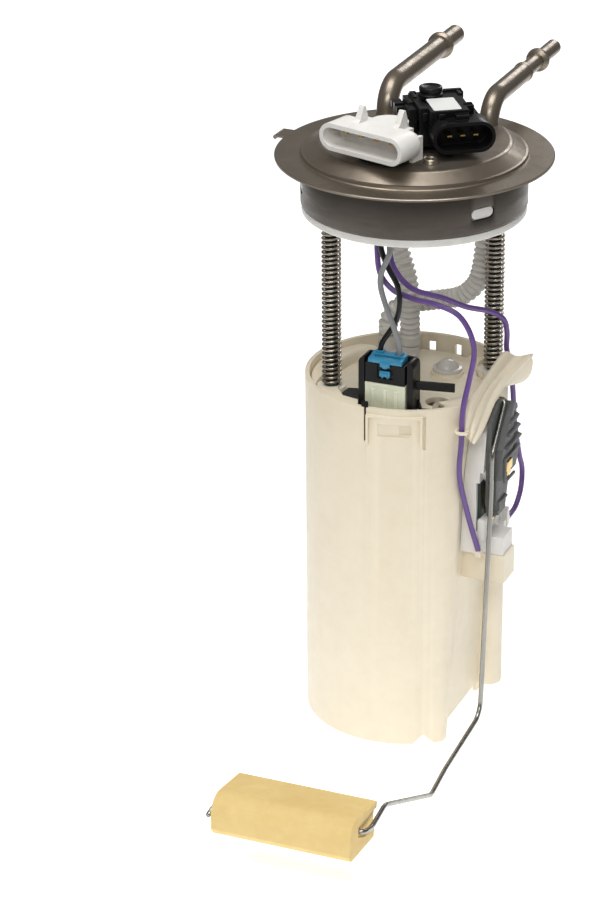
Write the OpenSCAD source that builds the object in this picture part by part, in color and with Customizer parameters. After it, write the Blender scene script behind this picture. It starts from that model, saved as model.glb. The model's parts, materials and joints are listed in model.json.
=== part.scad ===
// Fuel pump module for a tank opening: a steel cover carries two sprung guide rods,
// and a plastic reservoir with the pump and the level sender slides on them.
// Origin: centre of the flange on the face that seats on the tank. Z is up, and the
// flat side of the reservoir, with the level sender, faces +X.

/* [Cover] */
// Outer radius of the flange that seats on the tank
flange_r = 69; // [66:0.5:74]
// Sheet thickness of the cover
sheet_t = 1.2; // [0.8:0.1:1.6]
// Radius of the foot of the dome
dome_r = 56; // [54:0.5:58]
// Radius of the flat top of the dome
plateau_r = 48.5; // [47:0.5:50]
// Height of the dome's top face above the seat
dome_h = 8; // [6:0.5:10]
// Outer radius of the skirt that enters the tank
skirt_r = 56.25; // [55.5:0.05:56.8]
// Wall of the skirt
skirt_t = 1.3; // [1:0.1:1.6]
// Depth of the skirt below the seat
skirt_h = 24.2; // [20:0.2:28]
// Length of each snap slot in the skirt
slot_w = 14; // [10:0.5:18]
// Height of each snap slot in the skirt
slot_h = 6.4; // [4:0.2:8]
// Depth of the slots' middle below the seat
slot_drop = 14; // [12:0.5:16]

/* [Carrier] */
// How far the plastic carrier shows below the skirt
carrier_drop = 4; // [3:0.5:6]
// Thickness of the carrier's floor
carrier_floor = 2.4; // [2:0.1:3]
// Wall of the carrier's ring
carrier_wall = 1.8; // [1.4:0.1:2.4]

/* [Tubes] */
// Outer diameter of the supply tube at its nose
supply_nose_d = 9.53; // [9.53]
// Outer diameter of the supply tube's body
supply_body_d = 10.8; // [10:0.1:11.4]
// Outer diameter of the return tube at its nose
return_nose_d = 7.94; // [7.94]
// Outer diameter of the return tube's lower part
return_body_d = 9.8; // [9:0.1:10.4]
// Wall of both tubes
tube_t = 0.9; // [0.7:0.1:1.1]
// Height of the supply tube's run above the seat
supply_run_z = 22; // [20:0.5:26]
// Height of the return tube's run above the seat
return_run_z = 20; // [19:0.5:25]
// Reach of both tubes from their feet to their noses
tube_reach = 97; // [88:1:106]
// Turn of both runs away from straight back
tube_turn = 0.5; // [0:0.5:8]
// Centre-line radius of the tube bends
bend_r = 13; // [11:0.5:14]
// Length of the supply tube's nose past its bead
supply_nose_l = 22; // [18:1:24]
// Length of the return tube's nose past its bead
return_nose_l = 24; // [18:1:26]

/* [Harness socket] */
// Outer width of the four-way socket
socket4_w = 50; // [46:1:54]
// Outer height of the four-way socket
socket4_h = 13.8; // [12:0.2:16]
// Depth of the four-way socket's shroud
socket4_l = 15; // [13:0.5:18]
// Turn of the four-way socket
socket4_turn = -16.6; // [-20:0.2:-12]
// Wall of the four-way socket's shroud
socket4_t = 2.2; // [1.8:0.1:2.8]
// Spacing of the four blades
blade_pitch = 9.4; // [8:0.1:10]

/* [Pressure sensor] */
// Outer width of the three-way socket
socket3_w = 31; // [28:0.5:33]
// Outer height of the three-way socket
socket3_h = 15.6; // [14:0.2:17]
// Depth of the three-way socket's shroud
socket3_l = 13; // [11:0.5:15]
// Turn of the pressure sensor
sensor_turn = 34; // [30:0.5:38]
// Diameter of the sensor's port cap
cap_d = 12.6; // [11:0.2:14]

/* [Rods and springs] */
// Distance of both guide rods from the axis
rod_place_r = 42.2; // [41:0.1:43]
// Direction of the guide rods, the other is opposite
rod_angle = 36; // [34:0.5:38]
// Diameter of the guide rods
rod_d = 6.5; // [6:0.1:7]
// Mean diameter of the springs
spring_mean_d = 8.9; // [8.7:0.1:9.1]
// Wire diameter of the springs
spring_wire_d = 1.2; // [1:0.1:1.3]
// Turns of each spring
spring_turns = 36; // [30:1:38]
// Running clearance of the rods in their bushings
rod_gap = 0.05; // [0.03:0.01:0.1]
// Length of the bushings
bushing_l = 12; // [9:0.5:15]
// Travel of the reservoir up the rods
travel = 40; // [30:1:42]

/* [Reservoir] */
// Outer radius of the reservoir
can_r = 52.4; // [51.6:0.1:53]
// Depth of the reservoir's rim below the seat
rim_drop = 115; // [112:0.5:122]
// Height of the reservoir
can_h = 187; // [180:1:200]
// Wall of the reservoir
can_t = 2.2; // [1.8:0.1:2.6]
// Height of the floor above the bottom edge
floor_lift = 6; // [5:0.5:8]
// Thickness of the floor
floor_t = 2.5; // [2:0.1:3]
// Place of the flat panel at the height of the shelf
panel_x = 35; // [34:0.1:36]
// Lean of the flat panel, its moulding draft
panel_lean = 2.6; // [2:0.1:3]
// Radius of the near corner post and its foot
post_r = 7; // [6.5:0.1:7.4]

/* [Sender] */
// Reach of the shelf out from the axis
shelf_reach = 57.5; // [56:0.5:59]
// Width of the shelf along the flat side
shelf_w = 15.4; // [14:0.2:17]
// Height of the shelf
shelf_h = 15; // [13:0.5:17]
// Place of the float arm's wire out from the axis
arm_x = 51.5; // [51.3:0.1:51.8]
// Wire diameter of the float arm
arm_d = 2.5; // [2.2:0.1:2.8]
// Diameter of the sender's pivot post
pivot_d = 6; // [5:0.2:7]
// Length of the float
float_l = 71; // [66:1:76]
// Width of the float
float_w = 33; // [30:0.5:36]
// Height of the float
float_h = 20; // [18:0.5:22]

/* [Pump] */
// Outer diameter of the pump shell
pump_d = 38; // [36:0.5:40]
// Length of the pump shell
pump_l = 96; // [88:1:100]
// Diameter of the armature
armature_d = 25; // [23:0.5:26]
// Diameter of the armature shaft
shaft_d = 5; // [4:0.2:6]
// Number of armature teeth
armature_teeth = 8; // [6:1:10]
// Number of impeller vanes
vanes = 24; // [18:1:30]

/* [Hidden] */

$fn = 64;
eps = 0.01;
fit = 0.1;
seat_step = 0.3;
cream = [0.93, 0.88, 0.76];
steel = [0.45, 0.42, 0.38];
white = [0.94, 0.94, 0.92];
black = [0.08, 0.08, 0.09];
gray = [0.36, 0.38, 0.4];
purple = [0.45, 0.3, 0.65];

// Heights, all measured from the seat
skirt_low = -skirt_h;
carrier_low = skirt_low - carrier_drop;
rim_z = -rim_drop;
can_low = rim_z - can_h;
floor_low = can_low + floor_lift;
floor_top = floor_low + floor_t;
shelf_top = rim_z - 86;
shelf_low = shelf_top - shelf_h;

// The reservoir hangs a little off the cover's centre
can_at = [-2, -0.8];
can_in_r = can_r - can_t;
web_angle = atan2(-rod_place_r * sin(rod_angle) - can_at.y, -rod_place_r * cos(rod_angle) - can_at.x);

// Guide rods, from the carrier down through the bushings
rod_at = [rod_place_r * cos(rod_angle), rod_place_r * sin(rod_angle)];
rod_r = rod_d / 2;
bushing_r = 5.6;
bushing_top = rim_z - 3.4;
bushing_low = bushing_top - bushing_l;
rod_low = bushing_low - 6;
clip_r = 4.6;
column_r = 7.3;
column_top_r = 7.9;
spring_low = bushing_top + spring_wire_d / 2 + 0.02;
spring_top = carrier_low - spring_wire_d / 2 - 0.02;

// Tubes: feet on the cover's plateau
supply_at = [-27, 32];
return_at = [26, 35];
tube_low = carrier_low + carrier_floor + 1;
barb_l = 8;
hose_d = 10.6;

// Harness socket: centre of its mouth
socket4_at = [-9, -49.5];
socket4_z = dome_h + 4.8 + socket4_h / 2;
pedestal_y = 22.5;

// Pressure sensor: centre of its mouth
sensor_at = [34, -21.5];
sensor_z = dome_h + 3.6 + socket3_h / 2;

// Corner posts of the flat side
post_foot = [26.3, -37];
post_head = [33, -31.5];

// Pump stack
pump_at = can_at;
pump_low = floor_top + 18.5;
pump_top = pump_low + pump_l;
valve_at = [-26.5, -25];
nozzle_r = 3.9;
nozzle_top = rim_z - 14;

// Sender
shelf_y = -19.2;
housing_out = 47.3;
pivot_at = [-11, rim_z - 39];
rotor_in = housing_out + 0.5;
plate_t = 2.3;
rotor_out = 56;

// Pump wiring group, just inside the front of the rim
group_at = [3, -42];
header_low = rim_z - 5;
header_top = header_low + 16;
plug_top = header_top + 11;

// Routes of the wires and hoses, held from end to end
black_route = [
  [-3, -36, -25], [-3, -37, -36], [1, -37.5, -46], [6, -37.5, -55], [7, -37.5, -66], [4, -37.5, -76], [-1.4, -39.2, -85.4], [-2, -40, -92.6]
];
gray_route = [
  [1, -35.8, -25], [1.8, -37, -31], [2.5, -39.8, -38], [-1, -41, -47.5], [-1.5, -41, -55], [1.5, -41.5, -64.5], [6, -42.2, -75],
  [8.3, -40.7, -85], [8, -40, -92.6]
];
purple_front_route = [
  [-6.5, -33, -25], [-6.5, -33, -40], [-5, -32.5, -52], [1.5, -33, -59], [8, -33.5, -61], [16, -35.5, -61.5],
  [27, -37, -62], [37, -36, -66], [43, -35, -75], [45, -34, -86], [43, -35, -100], [41, -38, -115],
  [40.6, -38.6, -132.5], [39.4, -37.4, -151], [41.5, -32, -172], [46, -26.6, -195.9]
];
purple_back_route = [
  [-1, -31, -25], [0, -32, -42], [4, -31, -52], [11, -27, -60], [23, -20, -65], [31, -8, -73], [38, 7, -80],
  [43, 14, -86], [44, 17, -94], [43.6, 18, -103], [44, 21.5, -112], [44, 27.5, -128], [43.6, 33, -150],
  [43.6, 41, -171], [44.2, 44.6, -181], [45, 41, -190.6], [45, 34, -197.2], [45, 27, -198.6], [45, 20.9, -198.6]
];
supply_hose_route = [
  [-27, 32, -37], [-26.5, 30.5, -44], [-22, 27, -52], [-16, 23, -62], [-11, 21, -76], [-10, 21, -92], [-10, 22, -104],
  [-10, 22, -110.6]
];
return_hose_route = [
  [26, 35, -37], [25.8, 33.8, -50], [25, 32.4, -64], [22.6, 32, -75], [17, 32, -82], [10, 32, -86], [0, 33, -89],
  [-10, 34, -92], [-19, 34, -95], [-24, 33, -100], [-26, 32, -106], [-26, 32, -110.5]
];
wire_d = 2.8;

// Centre line of the float arm in the plane of its swing: distance along Y, height
arm_path = [
  [-5, -122], [-23.2, -143.6], [-24.4, -171], [-34.6, -280], [-39.6, -285], [-86, -289.8],
  [-105.5, -294], [-168, -265.5], [-185, -268.5], [-194.5, -266]
];
float_hole = [-194.5, -266];
float_tilt = 8;
float_right = arm_x - 1.9;
float_left = float_right - float_l;

// Every corner of the arm's wire: rotor end, swing plane, float, locked tail
function wire_corners() = concat(
  [[rotor_in + 0.3, arm_path[0].x, arm_path[0].y]],
  [for (p = arm_path) [arm_x, p.x, p.y]],
  [[float_left - 2.6, float_hole.x, float_hole.y], [float_left - 2.6, float_hole.x - 11, float_hole.y - 1.5]]
);

// Route with each corner rounded off over a length d
function rounded(p, d) = concat(
  [p[0]],
  [for (i = [1:len(p) - 2]) let (a = p[i] + min(d, norm(p[i - 1] - p[i]) * 0.45) * unit(p[i - 1] - p[i]),
    b = p[i] + min(d, norm(p[i + 1] - p[i]) * 0.45) * unit(p[i + 1] - p[i]))
    for (t = [0:0.25:1]) (1 - t) * (1 - t) * a + 2 * t * (1 - t) * p[i] + t * t * b],
  [p[len(p) - 1]]
);

// Unit vector, tangent and frames along a route
function unit(v) = v / norm(v);
function tangent(p, i) = unit(p[min(i + 1, len(p) - 1)] - p[max(i - 1, 0)]);
function square_off(u, t) = unit(u - (u * t) * t);
function frames(p, i, u) =
  i >= len(p) ? [] :
  let (t = tangent(p, i), v = square_off(u, t)) concat([[v, cross(t, v)]], frames(p, i + 1, v));

// Smooth curve through chosen points, k steps to each stretch
function between(a, b, c, d, t) =
  0.5 * (2 * b + (c - a) * t + (2 * a - 5 * b + 4 * c - d) * t * t + (3 * b - a - 3 * c + d) * t * t * t);
function smooth(p, k) = concat(
  [for (i = [0:len(p) - 2]) for (j = [0:k - 1])
    between(p[max(i - 1, 0)], p[i], p[i + 1], p[min(i + 2, len(p) - 1)], j / k)],
  [p[len(p) - 1]]
);

// Points of an arc, centre c, radius r, from angle a0 to a1
function arc(c, r, a0, a1, n) = [for (i = [0:n]) let (a = a0 + (a1 - a0) * i / n) c + r * [cos(a), sin(a)]];

// Round tube of a soft part along points p
module sweep(p, r, sides) {
  n = len(p);
  t0 = tangent(p, 0);
  f = frames(p, 0, abs(t0.x) > 0.8 ? [0, 1, 0] : [1, 0, 0]);
  points = [for (i = [0:n - 1]) for (j = [0:sides - 1])
    p[i] + r * (cos(360 * j / sides) * f[i][0] + sin(360 * j / sides) * f[i][1])];
  walls = [for (i = [0:n - 2]) for (j = [0:sides - 1]) let (k = (j + 1) % sides)
    [i * sides + j, (i + 1) * sides + j, (i + 1) * sides + k, i * sides + k]];
  ends = [[for (j = [0:sides - 1]) j], [for (j = [0:sides - 1]) n * sides - 1 - j]];
  polyhedron(points, concat(walls, ends), convexity = 10);
}

// Upright cylinder at p from height z0 to z1
module post(p, r, z0, z1) {
  translate([p[0], p[1], z0]) cylinder(r = r, h = z1 - z0);
}

// Upright tube
module sleeve(p, r_out, r_in, z0, z1) {
  difference() {
    post(p, r_out, z0, z1);
    post(p, r_in, z0 - 1, z1 + 1);
  }
}

// Round bar from point a to point b
module bar(a, b, r) {
  d = b - a;
  translate(a) rotate([0, acos(d.z / norm(d)), atan2(d.y, d.x)]) cylinder(r = r, h = norm(d));
}

// Flat outline with round ends, w wide and h high
module stadium(w, h) {
  square([w - h, h], center = true);
  for (s = [-1, 1]) translate([s * (w - h) / 2, 0]) circle(d = h);
}

// Block with its long edges along Y rounded, standing on its back
module stadium_along_y(w, h, y0, y1) {
  translate([0, y1, 0]) rotate([90, 0, 0]) linear_extrude(y1 - y0) stadium(w, h);
}

// Box from its low corner to its high corner
module box(a, b) {
  translate(a) cube(b - a);
}

// Outside of the leaning panel plane, moved inwards by inset
module outside_panel(inset) {
  translate([panel_x - inset, 0, shelf_top - 4]) rotate([0, panel_lean, 0])
    translate([0, -90, -150]) cube([80, 180, 300]);
}

// Cover

module cover_plate() {
  top = concat(
    [[0, dome_h], [plateau_r - 2, dome_h]],
    arc([plateau_r - 2, dome_h - 3], 3, 90, 48, 5),
    [[dome_r - 1.2, 3.2], [dome_r - 0.2, 2.9], [dome_r + 0.2, sheet_t + 0.4], [dome_r + 0.8, sheet_t],
     [flange_r - 0.4, sheet_t], [flange_r, sheet_t - 0.4]]
  );
  low = [
    [flange_r, 0], [skirt_r + fit / 2, 0], [skirt_r + fit / 2, seat_step], [skirt_r - skirt_t, seat_step],
    [skirt_r - skirt_t - 0.4, 1.6],
    [plateau_r + 0.6, dome_h - sheet_t - 1], [plateau_r - 1.6, dome_h - sheet_t], [0, dome_h - sheet_t]
  ];
  color(steel) difference() {
    union() {
      rotate_extrude($fn = 180) polygon(concat(top, low));
      locating_tab();
    }
    post(supply_at, supply_body_d / 2 + fit, 0, 20);
    post(return_at, return_body_d / 2 + fit, 0, 20);
    socket4_place() post([0, pedestal_y], 12, -30, 0);
    sensor_place() post([-8, 28], 5.2, -40, 10);
    post([20, -30.5], 1.6, 0, 20);
  }
}

// Small tongue on the flange's edge, with its end curled down
module locating_tab() {
  rotate([0, 0, 178]) {
    translate([flange_r - 2, -7, 0]) cube([6.5, 11, sheet_t]);
    translate([flange_r + 4.9, -7, sheet_t - 1.1]) rotate([-90, 0, 0]) cylinder(r = 1.1, h = 11, $fn = 32);
  }
}

module cover_skirt() {
  z = -slot_drop;
  color(steel) difference() {
    rotate_extrude($fn = 180) polygon([
      [skirt_r, seat_step - 0.02], [skirt_r, skirt_low + 1.2], [skirt_r - 0.35, skirt_low + 0.35], [skirt_r - 1.2, skirt_low],
      [skirt_r - 3.2, skirt_low], [skirt_r - 3.2, skirt_low + skirt_t], [skirt_r - skirt_t, skirt_low + skirt_t + 0.4],
      [skirt_r - skirt_t, seat_step - 0.02]
    ]);
    for (a = [-33, 87, 207]) rotate([0, 0, a]) translate([skirt_r - 5, 0, z]) rotate([90, 0, 90])
      linear_extrude(10) stadium(slot_w, slot_h);
  }
}

// White plastic ring that carries the rods, the hose stubs and the wires
module carrier_ring() {
  ring_r = skirt_r - skirt_t - 0.35;
  color(white) difference() {
    union() {
      difference() {
        rotate_extrude($fn = 120) polygon([
          [0, carrier_low], [skirt_r - 1.2, carrier_low], [skirt_r - 0.5, carrier_low + 0.7],
          [skirt_r - 0.5, skirt_low - 0.1], [skirt_r - 3.4, skirt_low - 0.1], [skirt_r - 3.4, skirt_low + skirt_t + 0.6],
          [ring_r, skirt_low + skirt_t + 0.6], [ring_r, -7], [0, -7]
        ]);
        translate([0, 0, carrier_low + carrier_floor]) cylinder(r = ring_r - carrier_wall - 2, h = 40, $fn = 96);
        translate([0, 0, skirt_low + 3]) cylinder(r = ring_r - carrier_wall, h = 40, $fn = 96);
      }
      for (a = [-33, 87, 207]) rotate([0, 0, a]) translate([ring_r - 1, 0, -slot_drop]) rotate([90, 0, 90])
        linear_extrude(2.1) stadium(slot_w - 1.5, slot_h - 1.4);
      for (s = [-1, 1]) post(s * rod_at, 6.4, carrier_low, -9);
      intersection() {
        union() for (p = [supply_at, return_at]) post(p, 8, carrier_low, -14);
        post([0, 0], ring_r - 0.4, carrier_low - 1, 0);
      }
      for (p = [supply_at, return_at]) post(p, 3.9, carrier_low - barb_l, carrier_low + 1);
      for (a = [0:60:300]) rotate([0, 0, a]) translate([16, -0.9, carrier_low + 1])
        cube([skirt_r - 19.6, 1.8, 9]);
      sleeve([0, 0], 18, 16, carrier_low + 1, carrier_low + 11);
    }
    for (s = [-1, 1]) post(s * rod_at, rod_r + fit / 2, carrier_low + carrier_floor, 0);
    for (s = [-1, 1]) post(s * rod_at, rod_r + fit / 2, carrier_low - 1, carrier_low + carrier_floor + 1);
    for (p = [supply_at, return_at]) post(p, 2.6, carrier_low - barb_l - 1, 0);
    post(supply_at, supply_body_d / 2 + fit, tube_low - 0.1, 0);
    post(return_at, return_body_d / 2 + fit, tube_low - 0.1, 0);
    translate([-2.5, -34, carrier_low - 1]) linear_extrude(16) stadium(15, 9);
    for (a = [30:60:330]) rotate([0, 0, a]) translate([0, 0, carrier_low - 1]) post([31, 0], 6, 0, 6);
  }
}

// One bent tube: local +Y is the direction of its run
module tube_run(r, run_z, length, low_z) {
  post([0, 0], r, low_z, run_z - bend_r);
  translate([0, bend_r, run_z - bend_r]) rotate([90, 0, -90])
    rotate_extrude(angle = 90) translate([bend_r, 0]) circle(r = r);
  translate([0, length, run_z]) rotate([90, 0, 0]) cylinder(r = r, h = length - bend_r);
}

// Turned profile on the run's axis: pairs of distance from the foot and radius
module run_profile(run_z, pairs) {
  translate([0, 0, run_z]) rotate([-90, 0, 0]) rotate_extrude()
    polygon(concat([[0, pairs[0][0]]], [for (p = pairs) [p[1], p[0]]], [[0, pairs[len(pairs) - 1][0]]]));
}

module supply_tube() {
  r = supply_body_d / 2;
  bead = tube_reach - supply_nose_l;
  color(steel) translate(supply_at) rotate([0, 0, -tube_turn]) difference() {
    union() {
      tube_run(r, supply_run_z, bead - 4, tube_low);
      run_profile(supply_run_z, [[bead - 4.5, r], [bead - 3, 5.9], [bead - 1.8, 7], [bead - 0.6, 7.1], [bead, 6.4],
        [bead, supply_nose_d / 2], [tube_reach - 1, supply_nose_d / 2], [tube_reach, supply_nose_d / 2 - 0.5]]);
    }
    tube_run(supply_nose_d / 2 - tube_t, supply_run_z, tube_reach + 1, tube_low - 1);
  }
}

module return_tube() {
  r = return_body_d / 2;
  neck = return_nose_d / 2 + 0.05;
  bead = tube_reach - return_nose_l;
  swage = bead - 24;
  color(steel) translate(return_at) rotate([0, 0, -tube_turn]) difference() {
    union() {
      tube_run(r, return_run_z, swage, tube_low);
      run_profile(return_run_z, [[swage - 0.5, r], [swage, r + 0.35], [swage + 1.4, r + 0.35], [swage + 3.4, neck],
        [bead - 3.4, neck], [bead - 2.4, 6], [bead - 0.8, 6.2], [bead, 5.4], [bead, return_nose_d / 2],
        [tube_reach - 1, return_nose_d / 2], [tube_reach, return_nose_d / 2 - 0.5]]);
    }
    tube_run(return_nose_d / 2 - tube_t, return_run_z, tube_reach + 1, tube_low - 1);
  }
}

// Four-way harness socket

module socket4_place() {
  translate([socket4_at.x, socket4_at.y, socket4_z]) rotate([0, 0, socket4_turn]) children();
}

module connector_shell() {
  low = dome_h + 1.5 - socket4_z;
  color(white) socket4_place() difference() {
    union() {
      stadium_along_y(socket4_w, socket4_h, 0, socket4_l);
      box([-15, socket4_l - 1, low + 1], [15, pedestal_y, 5.5]);
      translate([0, pedestal_y, low]) cylinder(r = 14, h = 8);
      translate([0, pedestal_y, low]) cylinder(r = 9.6, h = 16);
      latch_ramp(-8.5, 0);
      latch_ramp(11, 6);
      for (s = [-1, 1]) box([s * 20 - 1, socket4_l - 1, low + 1.5], [s * 20 + 1, socket4_l + 7, 3]);
    }
    stadium_along_y(socket4_w - 2 * socket4_t, socket4_h - 2 * socket4_t, -1, socket4_l - 2.5);
    for (i = [-1.5:1:1.5]) box([i * blade_pitch - 1.5, 0, 0.8], [i * blade_pitch + 1.5, pedestal_y + 1, 1.8]);
    for (i = [-1.5:1:1.5]) post([i * 4, pedestal_y], 1.7, low - 30, 0.4);
  }
}

// Sloping catch on top of the four-way socket
module latch_ramp(x, back) {
  top = socket4_h / 2;
  translate([x - 1.6, back, 0]) rotate([90, 0, 90]) linear_extrude(3.2)
    polygon([[5, top - 1.6], [15, top - 1.6], [15, top + 2.6], [13.4, top + 7.6], [12.2, top + 7.6], [9, top + 1.4]]);
}

module connector_gasket() {
  color(black) socket4_place() difference() {
    translate([0, pedestal_y, dome_h - socket4_z + 0.05]) cylinder(r = 14.8, h = 1.35);
    translate([0, pedestal_y, dome_h - socket4_z - 1]) cylinder(r = 9, h = 4);
  }
}

module connector_blades() {
  color([0.75, 0.68, 0.5]) socket4_place() for (i = [-1.5:1:1.5])
    difference() {
      box([i * blade_pitch - 1.4, 6, 0.9], [i * blade_pitch + 1.4, pedestal_y - 1, 1.7]);
      translate([i * blade_pitch, 5.6, 1.3]) rotate([0, 90, 0]) cylinder(r = 0.5, h = 4, center = true, $fn = 16);
    }
}

// Tank pressure sensor

module sensor_place() {
  translate([sensor_at.x, sensor_at.y, sensor_z]) rotate([0, 0, sensor_turn]) children();
}

module sensor_body() {
  low = dome_h + 1.6 - sensor_z;
  color(black) sensor_place() difference() {
    union() {
      stadium_along_y(socket3_w, socket3_h, 0, socket3_l);
      translate([0, 0, 0]) stadium_along_y(socket3_w - 5, socket3_h - 2.4, socket3_l - 1, socket3_l + 7);
      box([-19, 14, low + 2], [8, 40, 11.5]);
      box([-15, 8, 4], [4, 15, 11.5]);
      box([-19.4, 22, low + 2], [12, 38, 5]);
      translate([-8, 28, low + 0.02]) cylinder(r = 9, h = 4);
      box([-3.2, 4, socket3_h / 2 - 1], [3.2, 9, socket3_h / 2 + 2.2]);
    }
    stadium_along_y(socket3_w - 3.6, socket3_h - 3.6, -1, socket3_l - 3);
    for (i = [-1:1]) box([i * 6.5 - 1.3, 0, -0.5], [i * 6.5 + 1.3, 20, 0.5]);
    translate([-10.6, 26, 11.5 - 3]) cylinder(d = cap_d - 3, h = 4);
    translate([-8, 28, low - 1]) cylinder(r = 2, h = 8);
    box([-20, 15, -1], [-16, 24, 4.5]);
    box([5.5, 18, 7.5], [9, 36, 12]);
  }
}

module sensor_cap() {
  color(black) sensor_place() translate([-10.6, 26, 11.55]) {
    rotate_extrude() polygon([
      [0, 0], [cap_d / 2 - 1.2, 0], [cap_d / 2 - 1.2, 1], [cap_d / 2 - 0.3, 1.4], [cap_d / 2, 2], [cap_d / 2, 4],
      [cap_d / 2 - 0.6, 4.6], [cap_d / 2 - 1.6, 4.7], [cap_d / 2 - 1.8, 4.4], [0, 4.4]
    ]);
    translate([0, 0, -2.9]) cylinder(d = cap_d - 3.2, h = 3);
  }
}

module sensor_blades() {
  color([0.75, 0.75, 0.72]) sensor_place() for (i = [-1:1])
    box([i * 6.5 - 1.2, 4, -0.4], [i * 6.5 + 1.2, 18, 0.4]);
}

// Spring clip on the left of the sensor, two fingers on a foot
module sensor_clip() {
  z0 = dome_h + 0.05 - sensor_z;
  color(black) sensor_place() {
    difference() {
      box([-25.5, 28, z0], [-22.2, 43, 4.8]);
      box([-26, 31.5, -2], [-20, 33, 6]);
      box([-26, 37.5, -2], [-20, 39, 6]);
    }
    box([-27, 28.5, 4.7], [-22.2, 31.5, 8]);
    box([-27, 33.4, 4.7], [-22.2, 37, 8.6]);
    box([-27, 39.4, 4.7], [-22.2, 42.5, 8]);
    box([-22.3, 30, -3], [-19.6, 41, -1]);
  }
}

module sensor_grommet() {
  color(black) sensor_place() translate([-8, 28, dome_h - sensor_z]) difference() {
    union() {
      translate([0, 0, 0.05]) cylinder(r = 8.2, h = 1.5);
      translate([0, 0, -2]) cylinder(r = 5, h = 3);
      translate([0, 0, -3.4]) cylinder(r = 6.6, h = 2.1);
    }
    translate([0, 0, -6]) cylinder(r = 2.6, h = 10);
  }
}

// Eyelet and stud on the cover's plateau
module cover_rivets() {
  color(steel) translate([20, -30.5, dome_h + 0.02]) {
    rotate_extrude() polygon([[1.9, 0], [3.9, 0], [3.9, 0.5], [3.3, 1.9], [2.7, 2.4], [2.1, 2], [1.9, 1.2]]);
    difference() {
      translate([0, 0, -3]) cylinder(r = 1.5, h = 3.4);
      translate([0, 0, -3.5]) cylinder(r = 0.9, h = 5);
    }
    rotate_extrude() polygon([[0.9, 0.1], [2, 0.1], [2, 0.6], [0.9, 0.6]]);
  }
  color(steel) translate([15.6, -25.2, dome_h + 0.02]) rotate_extrude()
    polygon(concat([[0, 0]], arc([0, -1.1], 2.9, 22.3, 90, 8)));
}

// Rods and springs

module guide_rod(p) {
  color([0.7, 0.7, 0.72]) translate([p.x, p.y, rod_low]) {
    cylinder(r = rod_r, h = 15 + carrier_low - rod_low);
  }
}

module guide_rod_left() {
  guide_rod(-rod_at);
}

module guide_rod_right() {
  guide_rod(rod_at);
}

// Push-on clips that stop the reservoir from sliding off the rods
module rod_clips() {
  color(steel) for (s = [-1, 1]) translate([s * rod_at.x, s * rod_at.y, bushing_low - 1.5]) difference() {
    cylinder(r = clip_r, h = 1.4);
    translate([0, 0, -1]) cylinder(r = rod_r + 0.01, h = 4);
    for (a = [0:60:300]) rotate([0, 0, a]) translate([rod_r + 0.5, 0, -1]) cylinder(r = 0.55, h = 4, $fn = 24);
  }
}

// Round wire coil, drawn as one closed sweep
module coil(p, z0, z1) {
  steps = 9;
  n = spring_turns * steps;
  sides = 5;
  w = spring_wire_d / 2;
  points = [for (i = [0:n]) for (j = [0:sides - 1])
    let (a = 360 * i / steps, b = 360 * j / sides, q = spring_mean_d / 2 + w * cos(b))
    [p.x + q * cos(a), p.y + q * sin(a), z0 + (z1 - z0) * i / n - w * sin(b)]];
  walls = [for (i = [0:n - 1]) for (j = [0:sides - 1]) let (k = (j + 1) % sides)
    [i * sides + j, (i + 1) * sides + j, (i + 1) * sides + k, i * sides + k]];
  ends = [[for (j = [0:sides - 1]) j], [for (j = [0:sides - 1]) (n + 1) * sides - 1 - j]];
  color([0.6, 0.58, 0.55]) polyhedron(points, concat(walls, ends), convexity = 20);
}

module spring_left() {
  coil(-rod_at, spring_low, spring_top);
}

module spring_right() {
  coil(rod_at, spring_low, spring_top);
}

// Hoses and wires

module supply_hose() {
  color([0.85, 0.85, 0.82]) sweep(smooth(supply_hose_route, 2), hose_d / 2, 12);
}

module return_hose() {
  color([0.85, 0.85, 0.82]) sweep(smooth(return_hose_route, 2), hose_d / 2, 12);
}

module wire_black() {
  color(black) sweep(smooth(black_route, 3), wire_d / 2, 8);
}

module wire_gray() {
  color([0.6, 0.6, 0.62]) sweep(smooth(gray_route, 3), wire_d / 2, 8);
}

module wire_purple_front() {
  color(purple) sweep(smooth(purple_front_route, 3), wire_d / 2, 8);
}

module wire_purple_back() {
  color(purple) sweep(smooth(purple_back_route, 3), wire_d / 2, 8);
}

// Reservoir

module can_shape(r, inset, z0, z1) {
  difference() {
    translate([can_at.x, can_at.y, z0]) cylinder(r = r, h = z1 - z0, $fn = 180);
    outside_panel(inset);
  }
}

// Near corner post: leans with the panel and ends in a foot
module corner_post(r) {
  bar([post_foot.x, post_foot.y, can_low - 4], [post_head.x, post_head.y, rim_z - 3], r);
}

// Can shape with the corner post left standing outside the panel
module posted_shape(r, inset, z0, z1, post_size) {
  difference() {
    translate([can_at.x, can_at.y, z0]) cylinder(r = r, h = z1 - z0, $fn = 180);
    difference() {
      outside_panel(inset);
      corner_post(post_size);
    }
  }
}

// Columns round both guide rods
module rod_columns() {
  translate([rod_at.x, rod_at.y, can_low + 5]) cylinder(r1 = column_r, r2 = column_top_r, h = bushing_top - can_low - 5);
  post(-rod_at, column_r, rim_z - 140, bushing_top);
  translate([can_at.x, can_at.y, rim_z - 140]) rotate([0, 0, web_angle]) translate([45, -1, 0])
    cube([can_in_r - 44, 2, 130]);
}

// Shelf with the pocket that the sender's foot stands in
module sender_shelf() {
  difference() {
    translate([28, shelf_y, shelf_low]) cube([shelf_reach - 28, shelf_w, shelf_h]);
    translate([shelf_reach - 6, shelf_y + shelf_w, shelf_low]) rotate([0, 45, 0]) cube([8, 20, 8], center = true);
  }
}

module on_wall(angle, z) {
  translate([can_at.x, can_at.y, z]) rotate([0, 0, angle]) translate([can_r, 0, 0]) children();
}

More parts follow.
